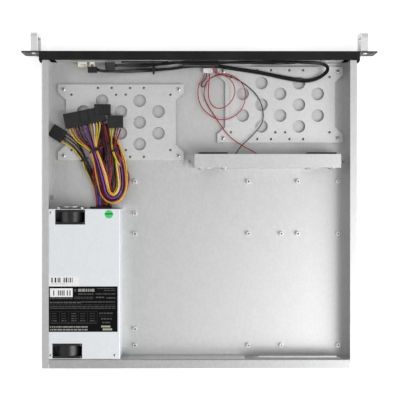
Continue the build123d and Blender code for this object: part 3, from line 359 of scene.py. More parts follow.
foot_places = [(-198.9, -66.45, 2.1), (13.9, -66.45, 2.1)]
cover_places = [(201.8, 4, 41.1), (201.8, 197, 41.1), (115, 197, 41.1)]
handle_places = [(x, -213, z) for x in (-224.19, 224.19) for z in (4.6, 39.1)]
bracket_fans = fan_places(("fan_left_frame", "fan_right_frame"), -57.2)
front_guard = fan_places(("psu_fan_front_frame",), -2.2)
rear_guard = fan_places(("psu_fan_rear_frame",), 203.2)
pan_heads = screw_tree()
for name, node, places, facing, radius, height, length, seed in (
    ("tray_screw_heads", "tray_screws", tray_places, UP, SCREW_HEAD, SCREW_HEAD_HEIGHT, 5, 1),
    ("bracket_screw_heads", "bracket_screws", foot_places, UP, SCREW_HEAD, SCREW_HEAD_HEIGHT, 1, 2),
    ("fan_screw_heads", "fan_screws", bracket_fans, TO_REAR, SCREW_HEAD, SCREW_HEAD_HEIGHT, 4, 3),
    ("cover_screw_heads", "psu_cover_screws", cover_places, UP, COVER_SCREW_HEAD, COVER_SCREW_HEIGHT, 3.5, 4),
    ("front_guard_screw_heads", "psu_guard_screws", front_guard, TO_FRONT, GUARD_SCREW_HEAD,
     SCREW_HEAD_HEIGHT, 4, 5),
    ("rear_guard_screw_heads", None, rear_guard, TO_REAR, GUARD_SCREW_HEAD, SCREW_HEAD_HEIGHT, 4, 6),
    ("handle_screw_heads", "handle_screws", handle_places, TO_REAR, HANDLE_SCREW_HEAD,
     SCREW_HEAD_HEIGHT, 10, 7),
):
    heads = repeated(name, pan_heads, places, {
        "Head Radius": radius * mm, "Head Height": height * mm, "Shank Radius": SCREW_SHANK * mm,
        "Shank Length": length * mm, "Seed": seed, "Facing": facing, "Finish": plated,
    })
    if node:
        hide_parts(node)

# The fans are black moulded plastic: a square frame with a round duct, and a seven-bladed
# rotor that turns on the motor in the middle.
MOULD_GRAIN_SCALE = 1600
MOULD_GRAIN_DEPTH = 0.03
MOULD_CLOUD_SCALE = 90


def moulded(name, dark, light, roughness):
    """Moulded plastic: a slightly mottled colour, an even sheen and a fine spark-eroded grain."""
    finish, nodes, links, shader = new_finish(name, 0.0, roughness)
    grain = pattern(nodes, links, "ShaderNodeTexNoise", MOULD_GRAIN_SCALE, detail=2)
    cloud = pattern(nodes, links, "ShaderNodeTexNoise", MOULD_CLOUD_SCALE)
    links.new(ramp(nodes, links, cloud, dark, light), shader.inputs["Base Color"])
    links.new(spread(nodes, links, cloud, roughness - 0.05, roughness + 0.07), shader.inputs["Roughness"])
    bump(nodes, links, shader, grain, 0.3, MOULD_GRAIN_DEPTH * mm)
    return finish


fan_frame_black = moulded("black fan frame", (0.008, 0.008, 0.008, 1), (0.016, 0.016, 0.016, 1), 0.32)
rotor_black = moulded("black rotor", (0.006, 0.006, 0.006, 1), (0.012, 0.012, 0.012, 1), 0.38)
for fan in ("fan_left", "fan_right", "psu_fan_front", "psu_fan_rear"):
    dress(fan_frame_black, fan + "_frame")
    dress(rotor_black, fan + "_rotor")

# The power supply's cover and base are two folded channels of smooth bright zinc-coated sheet,
# screwed together at the corners. Finger guards of welded wire stand over its two fans.
SUPPLY_SHADE = (0.8, 0.83, 0.855, 1)
SUPPLY_LIGHT = (0.85, 0.88, 0.905, 1)
supply_steel = galvanised_sheet("supply sheet", SUPPLY_SHADE, SUPPLY_LIGHT, (1, 0.06, 1), 0.2)
dress(supply_steel, "psu_cover", "psu_base")
guard_wire = satin_metal("guard wire", (0.3, 0.3, 0.3, 1), (0.5, 0.5, 0.5, 1), 500, 0.32)
dress(guard_wire, "psu_guard_front", "psu_guard_rear", "front_socket_left", "front_socket_right")
black_plastic = moulded("black plastic", (0.006, 0.006, 0.006, 1), (0.012, 0.012, 0.012, 1), 0.5)
dress(black_plastic, "psu_inlet", "psu_grommet", "switch_housing", "power_button", "reset_button",
      "board_connector", "drive_connector", "processor_connector", "front_lead_plug")

# The supply's board is lacquered green glass fibre, and the front board a pale one. Its headers
# and the fan connector are moulded, and two clear light pipes lead its lights to the panel.
for name, dark, light, roughness, parts in (
    ("green lacquer", (0.02, 0.09, 0.04, 1), (0.03, 0.13, 0.06, 1), 0.3, ("psu_board",)),
    ("pale lacquer", (0.3, 0.31, 0.3, 1), (0.38, 0.39, 0.38, 1), 0.35, ("front_board",)),
    ("cream plastic", (0.72, 0.69, 0.6, 1), (0.8, 0.78, 0.7, 1), 0.45, ("header_wide", "header_narrow")),
    ("white connector", (0.86, 0.86, 0.85, 1), (0.92, 0.92, 0.91, 1), 0.4, ("fan_connector",)),
    ("clear light pipe", (0.7, 0.72, 0.7, 1), (0.8, 0.82, 0.8, 1), 0.15, ("light_pipes",)),
):
    dress(moulded(name, dark, light, roughness), *parts)

# A row of square gilt pins stands out of the front board, below its two headers. They are
# pushed through the board and soldered at its far side.
PIN_COUNT = 9
PIN_SIDE = 0.64
PIN_LENGTH = 9
PIN_PITCH = 2.54
PIN_START = (153.4, -197, 25.4)


def pin_tree():
    """A square pin on each point."""
    tree, given, add = new_tree("header pins", ("Thickness", "Length"))
    size = add("ShadeCombineXYZ", in0=given["Thickness"], in1=given["Thickness"], in2=given["Length"])
    pin = add("MeshCube", Size=size.outputs[0])
    facing = tree.nodes.new("FunctionNodeEulerToRotation")
    tree.links.new(given["Facing"], facing.inputs[0])
    stood = add("InstanceOnPoints", Points=given["Geometry"], Instance=pin.outputs["Mesh"],
                Rotation=facing.outputs[0])
    real = add("RealizeInstances", Geometry=stood.outputs[0])
    finished = add("SetMaterial", Geometry=real.outputs[0], Material=given["Finish"])
    tree.links.new(finished.outputs[0], tree.nodes.new("NodeGroupOutput").inputs[0])
    return tree


pin_places = [(PIN_START[0] + k * PIN_PITCH, PIN_START[1], PIN_START[2]) for k in range(PIN_COUNT)]
pins = repeated("header_pins", pin_tree(), pin_places, {
    "Thickness": PIN_SIDE * mm, "Length": PIN_LENGTH * mm, "Facing": TO_REAR,
    "Finish": satin_metal("pin metal", (0.6, 0.55, 0.4, 1), (0.8, 0.75, 0.6, 1), 900, 0.3),
})

# The leads are bundles of plastic-insulated wires, each wire in its own colour. The main lead
# leaves the power supply through the grommet, is folded back on itself twice and held by ties,
# and its wires fan out into the wide board connector.
INSULATION = {
    "yellow": (0.9, 0.66, 0.02, 1),
    "orange": (0.86, 0.27, 0.05, 1),
    "red": (0.5, 0.014, 0.025, 1),
    "maroon": (0.17, 0.012, 0.02, 1),
    "purple": (0.2, 0.08, 0.6, 1),
    "white": (0.82, 0.8, 0.84, 1),
    "blue": (0.03, 0.05, 0.28, 1),
    "brown": (0.09, 0.025, 0.012, 1),
    "black": (0.008, 0.008, 0.008, 1),
}
TIE_REACH = 0.13
TURN_START, TURN_LENGTH = 0.2, 0.16
SOCKET_SHARE = 0.985


def insulation(name, colour):
    """Soft wire insulation: an even colour, glossy, with a slight waviness."""
    finish, nodes, links, shader = new_finish(name + " insulation", 0.0, 0.28)
    cloud = pattern(nodes, links, "ShaderNodeTexNoise", 300, detail=2)
    dark = tuple(0.8 * part for part in colour[:3]) + (1,)
    links.new(ramp(nodes, links, cloud, dark, colour), shader.inputs["Base Color"])
    bump(nodes, links, shader, cloud, 0.15, 0.03 * mm)
    return finish


jackets = {name: insulation(name, colour) for name, colour in INSULATION.items()}


def route_spline(name, route):
    """The smooth line of a route, given in millimetres, as a curve of one spline."""
    curve = bpy.data.curves.new(name, "CURVE")
    curve.dimensions = "3D"
    spline = curve.splines.new("NURBS")
    spline.points.add(len(route) - 1)
    for point, place in zip(spline.points, route):
        point.co = (place[0] * mm, place[1] * mm, place[2] * mm, 1)
    spline.order_u = 3
    spline.use_endpoint_u = True
    spline.resolution_u = 10
    piece = bpy.data.objects.new(name, curve)
    bpy.context.scene.collection.objects.link(piece)
    return piece


def followed(route):
    """Points along a route's spline, each with its sideways and upward axis and its share of the length."""
    guide = route_spline("guide", route)
    line = bpy.data.meshes.new_from_object(guide)
    points = [vertex.co.copy() for vertex in line.vertices]
    bpy.data.objects.remove(guide)
    lengths = [0.0]
    for before, after in zip(points, points[1:]):
        lengths.append(lengths[-1] + (after - before).length)
    frames = []
    for k, point in enumerate(points):
        ahead = (points[min(k + 1, len(points) - 1)] - points[max(k - 1, 0)]).normalized()
        side = ahead.cross(Vector((0, 0, 1))).normalized()
        frames.append((point, side, side.cross(ahead), lengths[k] / lengths[-1]))
    return points, frames


def smooth_step(value):
    """A soft change from 0 to 1."""
    value = min(max(value, 0), 1)
    return value * value * (3 - 2 * value)


def add_tube(vertices, faces, kinds, line, radius, kind, sides=8):
    """A round tube along a line of points, closed at both ends."""
    first = len(vertices)
    across = None
    for k, point in enumerate(line):
        ahead = (line[min(k + 1, len(line) - 1)] - line[max(k - 1, 0)]).normalized()
        if across is None:
            across = ahead.orthogonal().normalized()
        across = (across - ahead * across.dot(ahead)).normalized()
        other = ahead.cross(across)
        for turn in range(sides):
            angle = 2 * math.pi * turn / sides
            vertices.append(point + (across * math.cos(angle) + other * math.sin(angle)) * radius)
    for k in range(len(line) - 1):
        for turn in range(sides):
            here = first + k * sides + turn
            beside = first + k * sides + (turn + 1) % sides
            faces.append((here, beside, beside + sides, here + sides))
            kinds.append(kind)
    last = first + (len(line) - 1) * sides
    faces.append(tuple(first + turn for turn in reversed(range(sides))))
    faces.append(tuple(last + turn for turn in range(sides)))
    kinds.extend((kind, kind))


def finished_mesh(name, vertices, faces, kinds, finishes, smooth=True):
    """A piece from its points and faces, with one finish for each kind of face."""
    mesh = bpy.data.meshes.new(name)
    mesh.from_pydata(vertices, [], faces)
    for finish in finishes:
        mesh.materials.append(finish)
    mesh.polygons.foreach_set("material_index", kinds)
    mesh.polygons.foreach_set("use_smooth", [smooth] * len(faces))
    mesh.update()
    piece = bpy.data.objects.new(name, mesh)
    bpy.context.scene.collection.objects.link(piece)
    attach(piece, "case")
    return piece


def wire_lines(route, colours, columns, pitch, half_width, half_height, ties, limit, twist, seed):
    """The line of each wire of a flat bundle: side by side in the bundle, drawn together at the
    ties, turned over near the start, and spread to its socket after the last tie."""
    points, frames = followed(route)
    picker = random.Random(seed)
    rows = math.ceil(len(colours) / columns)
    lines = []
    for k in range(len(colours)):
        column, row = divmod(k, rows)
        socket = ((column - (columns - 1) / 2) * pitch, (row - (rows - 1) / 2) * pitch)
        offset = (column + 0.5 - columns / 2) / (columns / 2)
        across = math.copysign(abs(offset) ** 0.8, offset) * half_width + picker.uniform(-0.3, 0.3)
        level = ((row + 0.5) / rows * 2 - 1) * half_height
        up = level + (0.5 if column % 2 else -0.5) + picker.uniform(-0.4, 0.4)
        phase = [picker.uniform(0, 2 * math.pi) for _ in range(4)]
        line = []
        for point, side, above, share in frames:
            free = smooth_step(min([abs(share - tie) for tie in ties] + [share + 0.03]) / TIE_REACH)
            angle = twist * (1 - smooth_step((share - TURN_START) / TURN_LENGTH))
            a = across * (0.72 + 0.28 * free)
            b = up * (1.25 - 0.25 * free)
            a, b = a * math.cos(angle) - b * math.sin(angle), 0.7 * a * math.sin(angle) + b * math.cos(angle)
            a += free * (0.9 * math.sin(9 * share + phase[0]) + 0.5 * math.sin(23 * share + phase[1]))
            b += free * (0.7 * math.sin(8 * share + phase[2]) + 0.4 * math.sin(19 * share + phase[3]))
            reach = math.hypot(a, b)
            if reach > limit:
                a, b = a * limit / reach, b * limit / reach
            run = (share - ties[-1]) / (SOCKET_SHARE - ties[-1])
            fan = 0.45 * smooth_step(run) + 0.55 * min(max(run, 0), 1)
            a, b = a * (1 - fan) + socket[0] * fan, b * (1 - fan) + socket[1] * fan
            line.append((point + side * a * mm + above * b * mm, math.hypot(a, b)))
        lines.append(line)
    return points, lines


def lead(name, route, colours, columns, pitch, half_width, half_height, wire, ties, reach, twist, seed):
    """A bundle of wires. Where a wire of the fan leaves the bundle's reach, it goes on in a second
    piece, which is attached to the case's body like the first."""
    points, lines = wire_lines(
        route, colours, columns, pitch, half_width, half_height, ties, reach - wire / 2, twist, seed
    )
    names = list(dict.fromkeys(colours))
    kept = ([], [], [])
    fanned = ([], [], [])
    for line, colour in zip(lines, colours):
        kind = names.index(colour)
        split = len(line) - 1
        for k in range(len(line)):
            if line[k][1] + wire / 2 > reach + 0.01:
                split = k
                break
        places = [place for place, _ in line]
        add_tube(*kept, places[: split + (split == len(line) - 1)], wire / 2 * mm, kind)
        if split < len(line) - 1:
            add_tube(*fanned, places[split - 1:], wire / 2 * mm, kind)
    finishes = [jackets[colour] for colour in names]
    bundle = finished_mesh(name + "_wires", *kept, finishes)
    fan = finished_mesh(name + "_fanned_wires", *fanned, finishes)
    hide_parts(name)
    return bundle, fan, points


MAIN_ROUTE = [
    (136, -4, 9.6), (136, -22, 9.2), (138, -46, 9.4), (138, -68, 11.2), (136, -88, 11.6), (126, -98.5, 11.6),
    (115, -89, 12), (111, -70, 14), (107.5, -48, 18), (106.5, -27, 22), (116, -14.5, 23.5),
    (127.5, -20, 24.3), (131.5, -38, 25), (136, -57, 26), (141.5, -75, 25.6), (147.8, -91, 20.5),
    (153.3, -104, 13.6), (156.3, -117, 13.4),
]
MAIN_COLOURS = (
    "black", "yellow", "black", "orange", "red", "maroon", "maroon", "black",
    "red", "maroon", "red", "purple", "purple", "black", "blue", "orange",
    "blue", "white", "red", "yellow", "red", "yellow", "red", "black",
)
MAIN_TIES = (0.36, 0.865)
WIRE = 1.75
main_bundle, main_fan, main_points = lead(
    "main_lead", MAIN_ROUTE, MAIN_COLOURS, 12, 4.2, 8.3, 2.7, WIRE, MAIN_TIES, 9.3, math.pi, 3
)

# A few more wires of the main lead run straight from the grommet to the connector's far end,
# under the folded bundle.
INNER_ROUTE = [
    (130, -4, 10.6), (127.5, -22, 13), (124, -42, 17), (122.5, -62, 20.5), (125, -82, 21.5), (129, -101, 19),
    (132.4, -117, 13.6),
]
INNER_COLOURS = (
    "black", "black", "maroon", "black", "blue", "black", "black", "maroon", "brown", "red", "black", "black",
    "maroon", "black",
)
_, inner_lines = wire_lines(INNER_ROUTE, INNER_COLOURS, 7, 1.6, 6.2, 1.5, (0.7,), 8, 0, 11)
inner = ([], [], [])
inner_names = list(dict.fromkeys(INNER_COLOURS))
for line, colour in zip(inner_lines, INNER_COLOURS):
    add_tube(*inner, [place for place, _ in line], WIRE / 2 * mm, inner_names.index(colour))
inner_wires = finished_mesh("main_lead_inner_wires", *inner, [jackets[colour] for colour in inner_names])

# The processor lead is eight wires to the connector by the side wall, and the drive lead five
# wires in a row to a flat connector.
CORNER_ROUTE = [
    (138, -4, 5.4), (138.5, -20, 5.2), (145, -38, 6.8), (153, -56, 12), (161, -74, 14), (172, -90, 13),
    (187, -99.5, 12.8),
]
CORNER_COLOURS = ("black", "yellow", "black", "black", "yellow", "brown", "black", "black")
CORNER_TIES = (0.62,)
corner_bundle, corner_fan, corner_points = lead(
    "processor_lead", CORNER_ROUTE, CORNER_COLOURS, 4, 4.2, 4.6, 1.4, WIRE, CORNER_TIES, 6.3, 0, 5
)
SIDE_ROUTE = [
    (124.6, -4, 9.6), (124.6, -14.5, 9), (113, -17, 6), (102.5, -26, 5.4), (99.5, -43, 9), (107.5, -62, 16),
    (117.5, -80, 21.4), (118.6, -96, 18), (115.6, -112.5, 12),
]
SIDE_COLOURS = ("yellow", "yellow", "black", "red", "maroon")
SIDE_TIES = (0.74,)
side_bundle, side_fan, side_points = lead(
    "drive_lead", SIDE_ROUTE, SIDE_COLOURS, 5, 3.4, 4.4, 0.6, WIRE, SIDE_TIES, 5.6, 0, 8
)

# The front lead is a limp bundle of thin black wires from a plug on the narrow header: it runs
# along the front wall, loops at the far side, comes back on top and ends in a second plug.
FRONT_ROUTE = [
    (139.4, -191, 27), (132.5, -189.2, 23.2), (122.5, -189.2, 17.4), (107, -191, 12), (90, -192.4, 8.4),
    (70, -192.5, 6.5), (40, -193.5, 5), (14, -198.6, 5), (-8, -199.6, 6),
    (-24, -198.6, 10.8), (-44, -195.4, 11.2), (-66, -191.6, 11.6), (-94, -187, 10.8), (-124, -180.5, 10.8),
    (-150, -177, 10.9), (-168, -183, 13.4), (-176.5, -191.5, 22), (-172, -197.8, 32), (-156, -199.8, 38),
    (-130, -199.8, 38.5), (-100, -199.8, 38.2), (-70, -199.8, 38.1), (-40, -199.6, 38.3), (-10, -199.4, 38.6),
    (27, -199.5, 38.2), (40, -199.6, 27), (53, -199.5, 15), (76, -199.3, 9.6), (98, -198.3, 15.5),
    (116, -196.8, 22.5),
]
FRONT_WIRE = 1.5
FRONT_REACH = 2.1
FRONT_WIRES = 9
front_points, front_frames = followed(FRONT_ROUTE)
front_strands = ([], [], [])
picker = random.Random(21)
for k in range(FRONT_WIRES):
    turns = picker.uniform(1.5, 3.5)
    ring = 0.2 if k == 0 else (0.6 if k < 4 else 1)
    start = 2 * math.pi * k / (FRONT_WIRES - 1)
    line = []
    for point, side, above, share in front_frames:
        angle = start + turns * math.sin(7 * share + k) + 5 * share
        stray = ring * FRONT_REACH * (1 + 0.12 * math.sin(40 * share + 2 * k))
        line.append(point + (side * math.cos(angle) + above * math.sin(angle)) * stray * mm)
    add_tube(*front_strands, line, FRONT_WIRE / 2 * mm, 0, 6)
front = finished_mesh("front_lead_wires", *front_strands, [jackets["black"]])
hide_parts("front_lead")

# Small nylon ties hold each bundle, and one holds both passes of the front lead. The plug of the
# front lead is a moulded housing that is pushed on the header's pins.
TIE_BAND = 2.4
WIDE_TIE_BAND = 2.6
TIE_STRAP = 0.9
TIE_HEAD = (2, 2.3, 1.4)
FRONT_TIE_PLACE = (0.063, -0.1958, 0.0095)
HEADER_PLUG = ((139.6, -194.8, 23.4), (152.2, -186.9, 33.2))
HEADER_PLUG_LATCH = ((141.5, -188.9, 33.2), (150.5, -187.7, 34.2))
ties = ([], [], [])


def add_band(vertices, faces, kinds, middle_point, across, up, half_width, half_height, band, tail):
    """A cable tie: a strap round an oval bundle, its head at one side and its cut tail."""
    along = up.cross(across)
    first = len(vertices)
    steps = 28
    for k in range(steps):
        angle = 2 * math.pi * k / steps
        for grown, shift in ((0, -1), (0, 1), (TIE_STRAP, 1), (TIE_STRAP, -1)):
            sideways = across * (half_width + grown) * math.cos(angle)
            out = sideways + up * (half_height + grown) * math.sin(angle)
            vertices.append(middle_point + (out + along * shift * band / 2) * mm)
    for k in range(steps):
        here, beside = first + 4 * k, first + 4 * ((k + 1) % steps)
        for corner in range(4):
            following = (corner + 1) % 4
            faces.append((here + corner, beside + corner, beside + following, here + following))
            kinds.append(0)
    head = middle_point + (across * (half_width * 0.45) + up * (half_height + TIE_STRAP + 0.9)) * mm
    cut_tail = head + (across * (TIE_HEAD[0] + tail / 2)) * mm
    for centre, size in ((head, TIE_HEAD), (cut_tail, (tail / 2, band / 2, 0.5))):
        corner = len(vertices)
        for sx in (-1, 1):
            for sy in (-1, 1):
                for sz in (-1, 1):
                    offset = across * sx * size[0] + along * sy * size[1] + up * sz * size[2]
                    vertices.append(centre + offset * mm)
        for face in ((0, 1, 3, 2), (4, 6, 7, 5), (0, 4, 5, 1), (2, 3, 7, 6), (0, 2, 6, 4), (1, 5, 7, 3)):
            faces.append(tuple(corner + item for item in face))
            kinds.append(0)


def band_at(route, share, half_width, half_height, tail):
    """A cable tie round a bundle, at a share of its length."""
    _, frames = followed(route)
    point, side, above, _ = min(frames, key=lambda frame_here: abs(frame_here[3] - share))
    add_band(*ties, point, side, above, half_width, half_height, TIE_BAND, tail)


band_at(MAIN_ROUTE, MAIN_TIES[1], 6.6, 4.6, 4)
band_at(SIDE_ROUTE, SIDE_TIES[0], 4.6, 2.6, 3)
band_at(CORNER_ROUTE, CORNER_TIES[0], 4.4, 3.6, 3)
add_band(*ties, Vector(FRONT_TIE_PLACE), Vector((0, 1, 0)), Vector((0, 0, 1)), 6.2, 6.4, WIDE_TIE_BAND, 5)
nylon = moulded("black nylon", (0.008, 0.008, 0.008, 1), (0.016, 0.016, 0.016, 1), 0.35)
tie_piece = finished_mesh("cable_tie_straps", *ties, [nylon], smooth=False)
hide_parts("cable_ties")


def add_block(vertices, faces, kinds, low, high, kind=0, bevel=0.0):
    """A block between two corners, in millimetres, its upright and upper edges cut back."""
    corner = len(vertices)
    for z, inset in ((low[2], 0), (high[2] - bevel, 0), (high[2], bevel)):
        for x, y in ((low[0], low[1]), (high[0], low[1]), (high[0], high[1]), (low[0], high[1])):
            sx = inset if x == low[0] else -inset
            sy = inset if y == low[1] else -inset
            vertices.append(Vector(((x + sx) * mm, (y + sy) * mm, z * mm)))
    faces.append((corner + 3, corner + 2, corner + 1, corner))
    kinds.append(kind)
    for level in (0, 4) if bevel else (0,):
        for side in range(4):
            a, b = corner + level + side, corner + level + (side + 1) % 4
            faces.append((a, b, b + 4, a + 4))
            kinds.append(kind)
    top = corner + (8 if bevel else 4)
    faces.append((top, top + 1, top + 2, top + 3))
    kinds.append(kind)
    if not bevel:
        del vertices[corner + 8:]


plug = ([], [], [])
add_block(*plug, *HEADER_PLUG, 0, 0.8)
add_block(*plug, *HEADER_PLUG_LATCH, 0, 0.3)
header_plug = finished_mesh("front_lead_header_plug", *plug, [nylon], smooth=False)

# The wide connector has a four-way block of the same black plastic clipped on at its far end,
# with raised rails on top.
END_BLOCK = ((122.4, -144.8, 8.4), (144.6, -130.4, 20.4))
RAIL_WIDTH = 1.2
clip_on = ([], [], [])
add_block(*clip_on, *END_BLOCK, 0, 0.8)
for x in (123.8, 127.6, 131.4, 135.2):
    add_block(*clip_on, (x, -144, 20.4), (x + RAIL_WIDTH, -131.6, 21.2), 0, 0.3)
end_block = finished_mesh("board_connector_end_block", *clip_on, [black_plastic], smooth=False)

# The labels are printed film, stuck on the cover: a black one with a table of faint lines, a small
# white one with a few plain bars, and a round green seal by the front fan. They say nothing.
COVER_TOP = 41.1
FILM = 0.12
INK = 0.02
BLACK_LABEL = (111.1, 103.7, 205.4, 165.4)
WHITE_LABEL = (163.1, 89.6, 204.9, 103.1)
SEAL_PLACE = (122.9, 5.9)
SEAL_RADIUS = 5.8


def printed(name, shade, roughness=0.35):
    """Ink or film: an almost even shade with a faint mottle and a soft shine."""
    finish, nodes, links, shader = new_finish(name, 0.0, roughness)
    shader.inputs["Specular IOR Level"].default_value = 0.1
    cloud = pattern(nodes, links, "ShaderNodeTexNoise", 220, detail=3)
    low = tuple(0.9 * part for part in shade[:3]) + (1,)
    links.new(ramp(nodes, links, cloud, low, shade), shader.inputs["Base Color"])
    links.new(spread(nodes, links, cloud, roughness - 0.05, roughness + 0.08), shader.inputs["Roughness"])
    return finish


LABEL_INKS = [
    printed("black film", (0.003, 0.003, 0.003, 1), 0.5), printed("pale ink", (0.32, 0.32, 0.3, 1)),
    printed("grey ink", (0.1, 0.1, 0.1, 1)), printed("faint ink", (0.045, 0.045, 0.045, 1)),
    printed("white film", (0.93, 0.93, 0.93, 1)), printed("olive ink", (0.42, 0.42, 0.34, 1)),
]
FILM_BLACK, PALE, GREY, FAINT, FILM_WHITE, OLIVE = range(6)


def print_box(sheet, label, place, ink):
    """A printed field: its place is measured from the label's corner at the front left."""
    x0, y0, x1, y1 = place
    low = (label[2] - x1, label[1] + y0, COVER_TOP + FILM)
    high = (label[2] - x0, label[1] + y1, COVER_TOP + FILM + INK)
    add_block(*sheet, low, high, ink)


def print_line(sheet, label, x0, x1, y, height, ink, chance):
    """A line of blocks of uneven length, as print looks from too far away to be read."""
    x = x0
    while x < x1 - 0.6:
        length = min(chance.uniform(1.2, 6.5), x1 - x)
        print_box(sheet, label, (x, y, x + length, y + height), ink)
        x += length + chance.uniform(0.5, 1.1)


chance = random.Random(14)
black_label = ([], [], [])
add_block(*black_label, (*BLACK_LABEL[:2], COVER_TOP), (*BLACK_LABEL[2:], COVER_TOP + FILM), FILM_BLACK)
print_box(black_label, BLACK_LABEL, (2.6, 2.6, 33.4, 14.4), FILM_WHITE)
for x0, x1, y, height, ink in (
    (2.6, 33, 15.4, 1.7, GREY), (35.5, 38.5, 3.6, 3.4, GREY), (40.8, 62.8, 3.2, 4, PALE),
    (40.8, 61.5, 9.6, 1.5, GREY), (35.5, 62, 13.8, 3.4, FAINT), (66.5, 91.2, 2.4, 0.9, GREY),
    (76, 91.2, 5, 1, GREY), (64.5, 91.2, 9.6, 1.2, GREY), (64.8, 76.5, 14, 1.8, GREY),
    (79, 91.2, 14.8, 1.6, GREY), (2.6, 45, 20.8, 2, GREY), (45.5, 91.2, 20.4, 1.4, GREY),
    (2.6, 91.2, 24.6, 1, FAINT), (2.6, 91.2, 27, 1, GREY), (2.6, 91.2, 29.2, 1, GREY),
    (69.5, 88, 35.6, 1.6, GREY), (69.5, 87.5, 39.8, 0.8, FAINT), (71.8, 86.5, 43.2, 1.6, GREY),
    (73.5, 84, 48.2, 1.6, GREY),
    (2.6, 66, 49.4, 1.3, FAINT), (2.6, 54.5, 54, 1.8, PALE), (2.6, 54.5, 57.7, 1.9, PALE),
):
    print_line(black_label, BLACK_LABEL, x0, x1, y, height, ink, chance)
print_box(black_label, BLACK_LABEL, (3, 33.6, 67, 34), FAINT)
print_box(black_label, BLACK_LABEL, (3, 48.2, 67, 48.6), FAINT)
for x in (3, 15.4, 28, 40.5, 53.4, 66.6):
    print_box(black_label, BLACK_LABEL, (x, 34, x + 0.4, 48.2), FAINT)
for x in (5, 18, 31.6, 43.6, 56.6):
    for y in (36.2, 39.6, 43, 46):
        print_line(black_label, BLACK_LABEL, x, x + 7, y, 1.2, GREY if y > 45 or x == 31.6 else FAINT, chance)
for x0, x1, y0, y1 in ((72, 84.5, 53.2, 55.6), (74, 86.8, 57, 59.6)):
    print_box(black_label, BLACK_LABEL, (x0, y0, x1, y1), OLIVE)
for x in (7, 13.5, 16, 18.5, 21, 25.5, 29):
    add_block(*black_label, (BLACK_LABEL[2] - x - 1.5, BLACK_LABEL[1] + 5.4, COVER_TOP + FILM + INK),
              (BLACK_LABEL[2] - x, BLACK_LABEL[1] + 12.4, COVER_TOP + FILM + 2 * INK), GREY)
white_label = ([], [], [])
white_corner = (WHITE_LABEL[2], BLACK_LABEL[1], COVER_TOP + FILM)
add_block(*white_label, (*WHITE_LABEL[:2], COVER_TOP), white_corner, FILM_WHITE)
for x, width, ink in ((4, 2, GREY), (8.6, 2, FILM_BLACK), (12.4, 4.4, PALE), (20.6, 1.6, FILM_BLACK),
                      (23.4, 2.2, FAINT), (26.8, 1, PALE), (29, 1.5, FILM_BLACK), (31.8, 1, GREY)):
    print_box(white_label, WHITE_LABEL, (x, 2.2, x + width, 8.8), ink)
print_line(white_label, WHITE_LABEL, 4, 26, 10.4, 0.6, PALE, chance)
for name, sheet, slot_name in (
    ("supply_label", black_label, "black_plastic"),
    ("bar_label", white_label, "cream_plastic"),
):
    piece = finished_mesh(name, *sheet, LABEL_INKS, smooth=False)


def disc(vertices, faces, kinds, place, radius, low, high, kind, band=None, sides=48):
    """A round film, or the band of it between two chords."""
    rim = []
    for k in range(sides):
        angle = 2 * math.pi * k / sides
        x, y = radius * math.cos(angle), radius * math.sin(angle)
        rim.append((x, min(max(y, band[0]), band[1]) if band else y))
    first = len(vertices)
    for z in (low, high):
        vertices.extend(Vector(((place[0] + x) * mm, (place[1] + y) * mm, z * mm)) for x, y in rim)
    for k in range(sides):
        faces.append((first + k, first + (k + 1) % sides, first + sides + (k + 1) % sides, first + sides + k))
        kinds.append(kind)
    faces.append(tuple(first + k for k in reversed(range(sides))))
    faces.append(tuple(first + sides + k for k in range(sides)))
    kinds.extend((kind, kind))


seal = ([], [], [])
disc(*seal, SEAL_PLACE, SEAL_RADIUS, COVER_TOP, COVER_TOP + FILM, 0)
disc(*seal, SEAL_PLACE, SEAL_RADIUS - 1, COVER_TOP + FILM, COVER_TOP + FILM + INK, 1)
disc(*seal, SEAL_PLACE, SEAL_RADIUS - 0.4, COVER_TOP + FILM + INK, COVER_TOP + FILM + 2 * INK, 2, (-1.4, 0.5))
seal_piece = finished_mesh("round_seal", *seal, [
    printed("green film", (0.2, 0.72, 0.28, 1)), printed("green ink", (0.1, 0.62, 0.2, 1)),
    printed("dark green ink", (0.004, 0.24, 0.05, 1)),
], smooth=False)

# Thin fan and light wires, copper strands in soft plastic, lie in loose loops over the tray and
# the floor in front of the fans. The two fan wires end in a small white connector.
BLACK_ROUTE = [
    (-38.4, -69, 26), (-44, -70, 25), (-49.5, -76, 20), (-56, -86.5, 14), (-70, -99, 10.8),
    (-86.6, -116.9, 10.2), (-89.3, -135, 10), (-81, -158.4, 10), (-56, -178.5, 15.4),
    (-31, -187, 13), (-17.4, -183.3, 9), (-9.5, -176, 7), (-5.6, -169, 5), (-2.2, -171.5, 4.4),
    (-4.4, -176.8, 4.2), (-10, -181.8, 4.4), (-10, -188.9, 5),
]
RED_ROUTE = [
    (-84, -58.4, 28), (-84.5, -68, 26.5), (-79, -77, 22), (-66, -84, 20), (-52, -92, 19), (-41, -101, 13),
    (-31.2, -114.2, 7), (-20.5, -130.8, 4.4), (-10.5, -146, 4), (-5.6, -158.4, 5.4), (-8, -173, 11),
    (-18, -184.5, 14.6), (-37, -188, 18), (-56, -178.6, 20), (-64.4, -163, 16.4), (-62, -143, 12.6),
    (-49.2, -128, 11.6), (-28.5, -122, 11.8), (-8, -134, 10), (1.4, -150, 8), (2.4, -166, 7),
    (0, -175.5, 6.2), (-6.6, -181, 5.4), (-6.6, -188.9, 5),
]
LIGHT_ROUTE = [
    (-14, -188.9, 5), (-14, -180, 5), (-12, -165, 9), (-13, -150, 13), (-21, -139, 15.4), (-35.4, -140, 16.4),
    (-47.6, -153, 18), (-49.4, -168, 22), (-40.5, -181, 24.4), (-27, -186.4, 23), (-18.4, -189.6, 21.6),
    (-17.6, -196.8, 21.6),
]
THIN_WIRE = 1.4


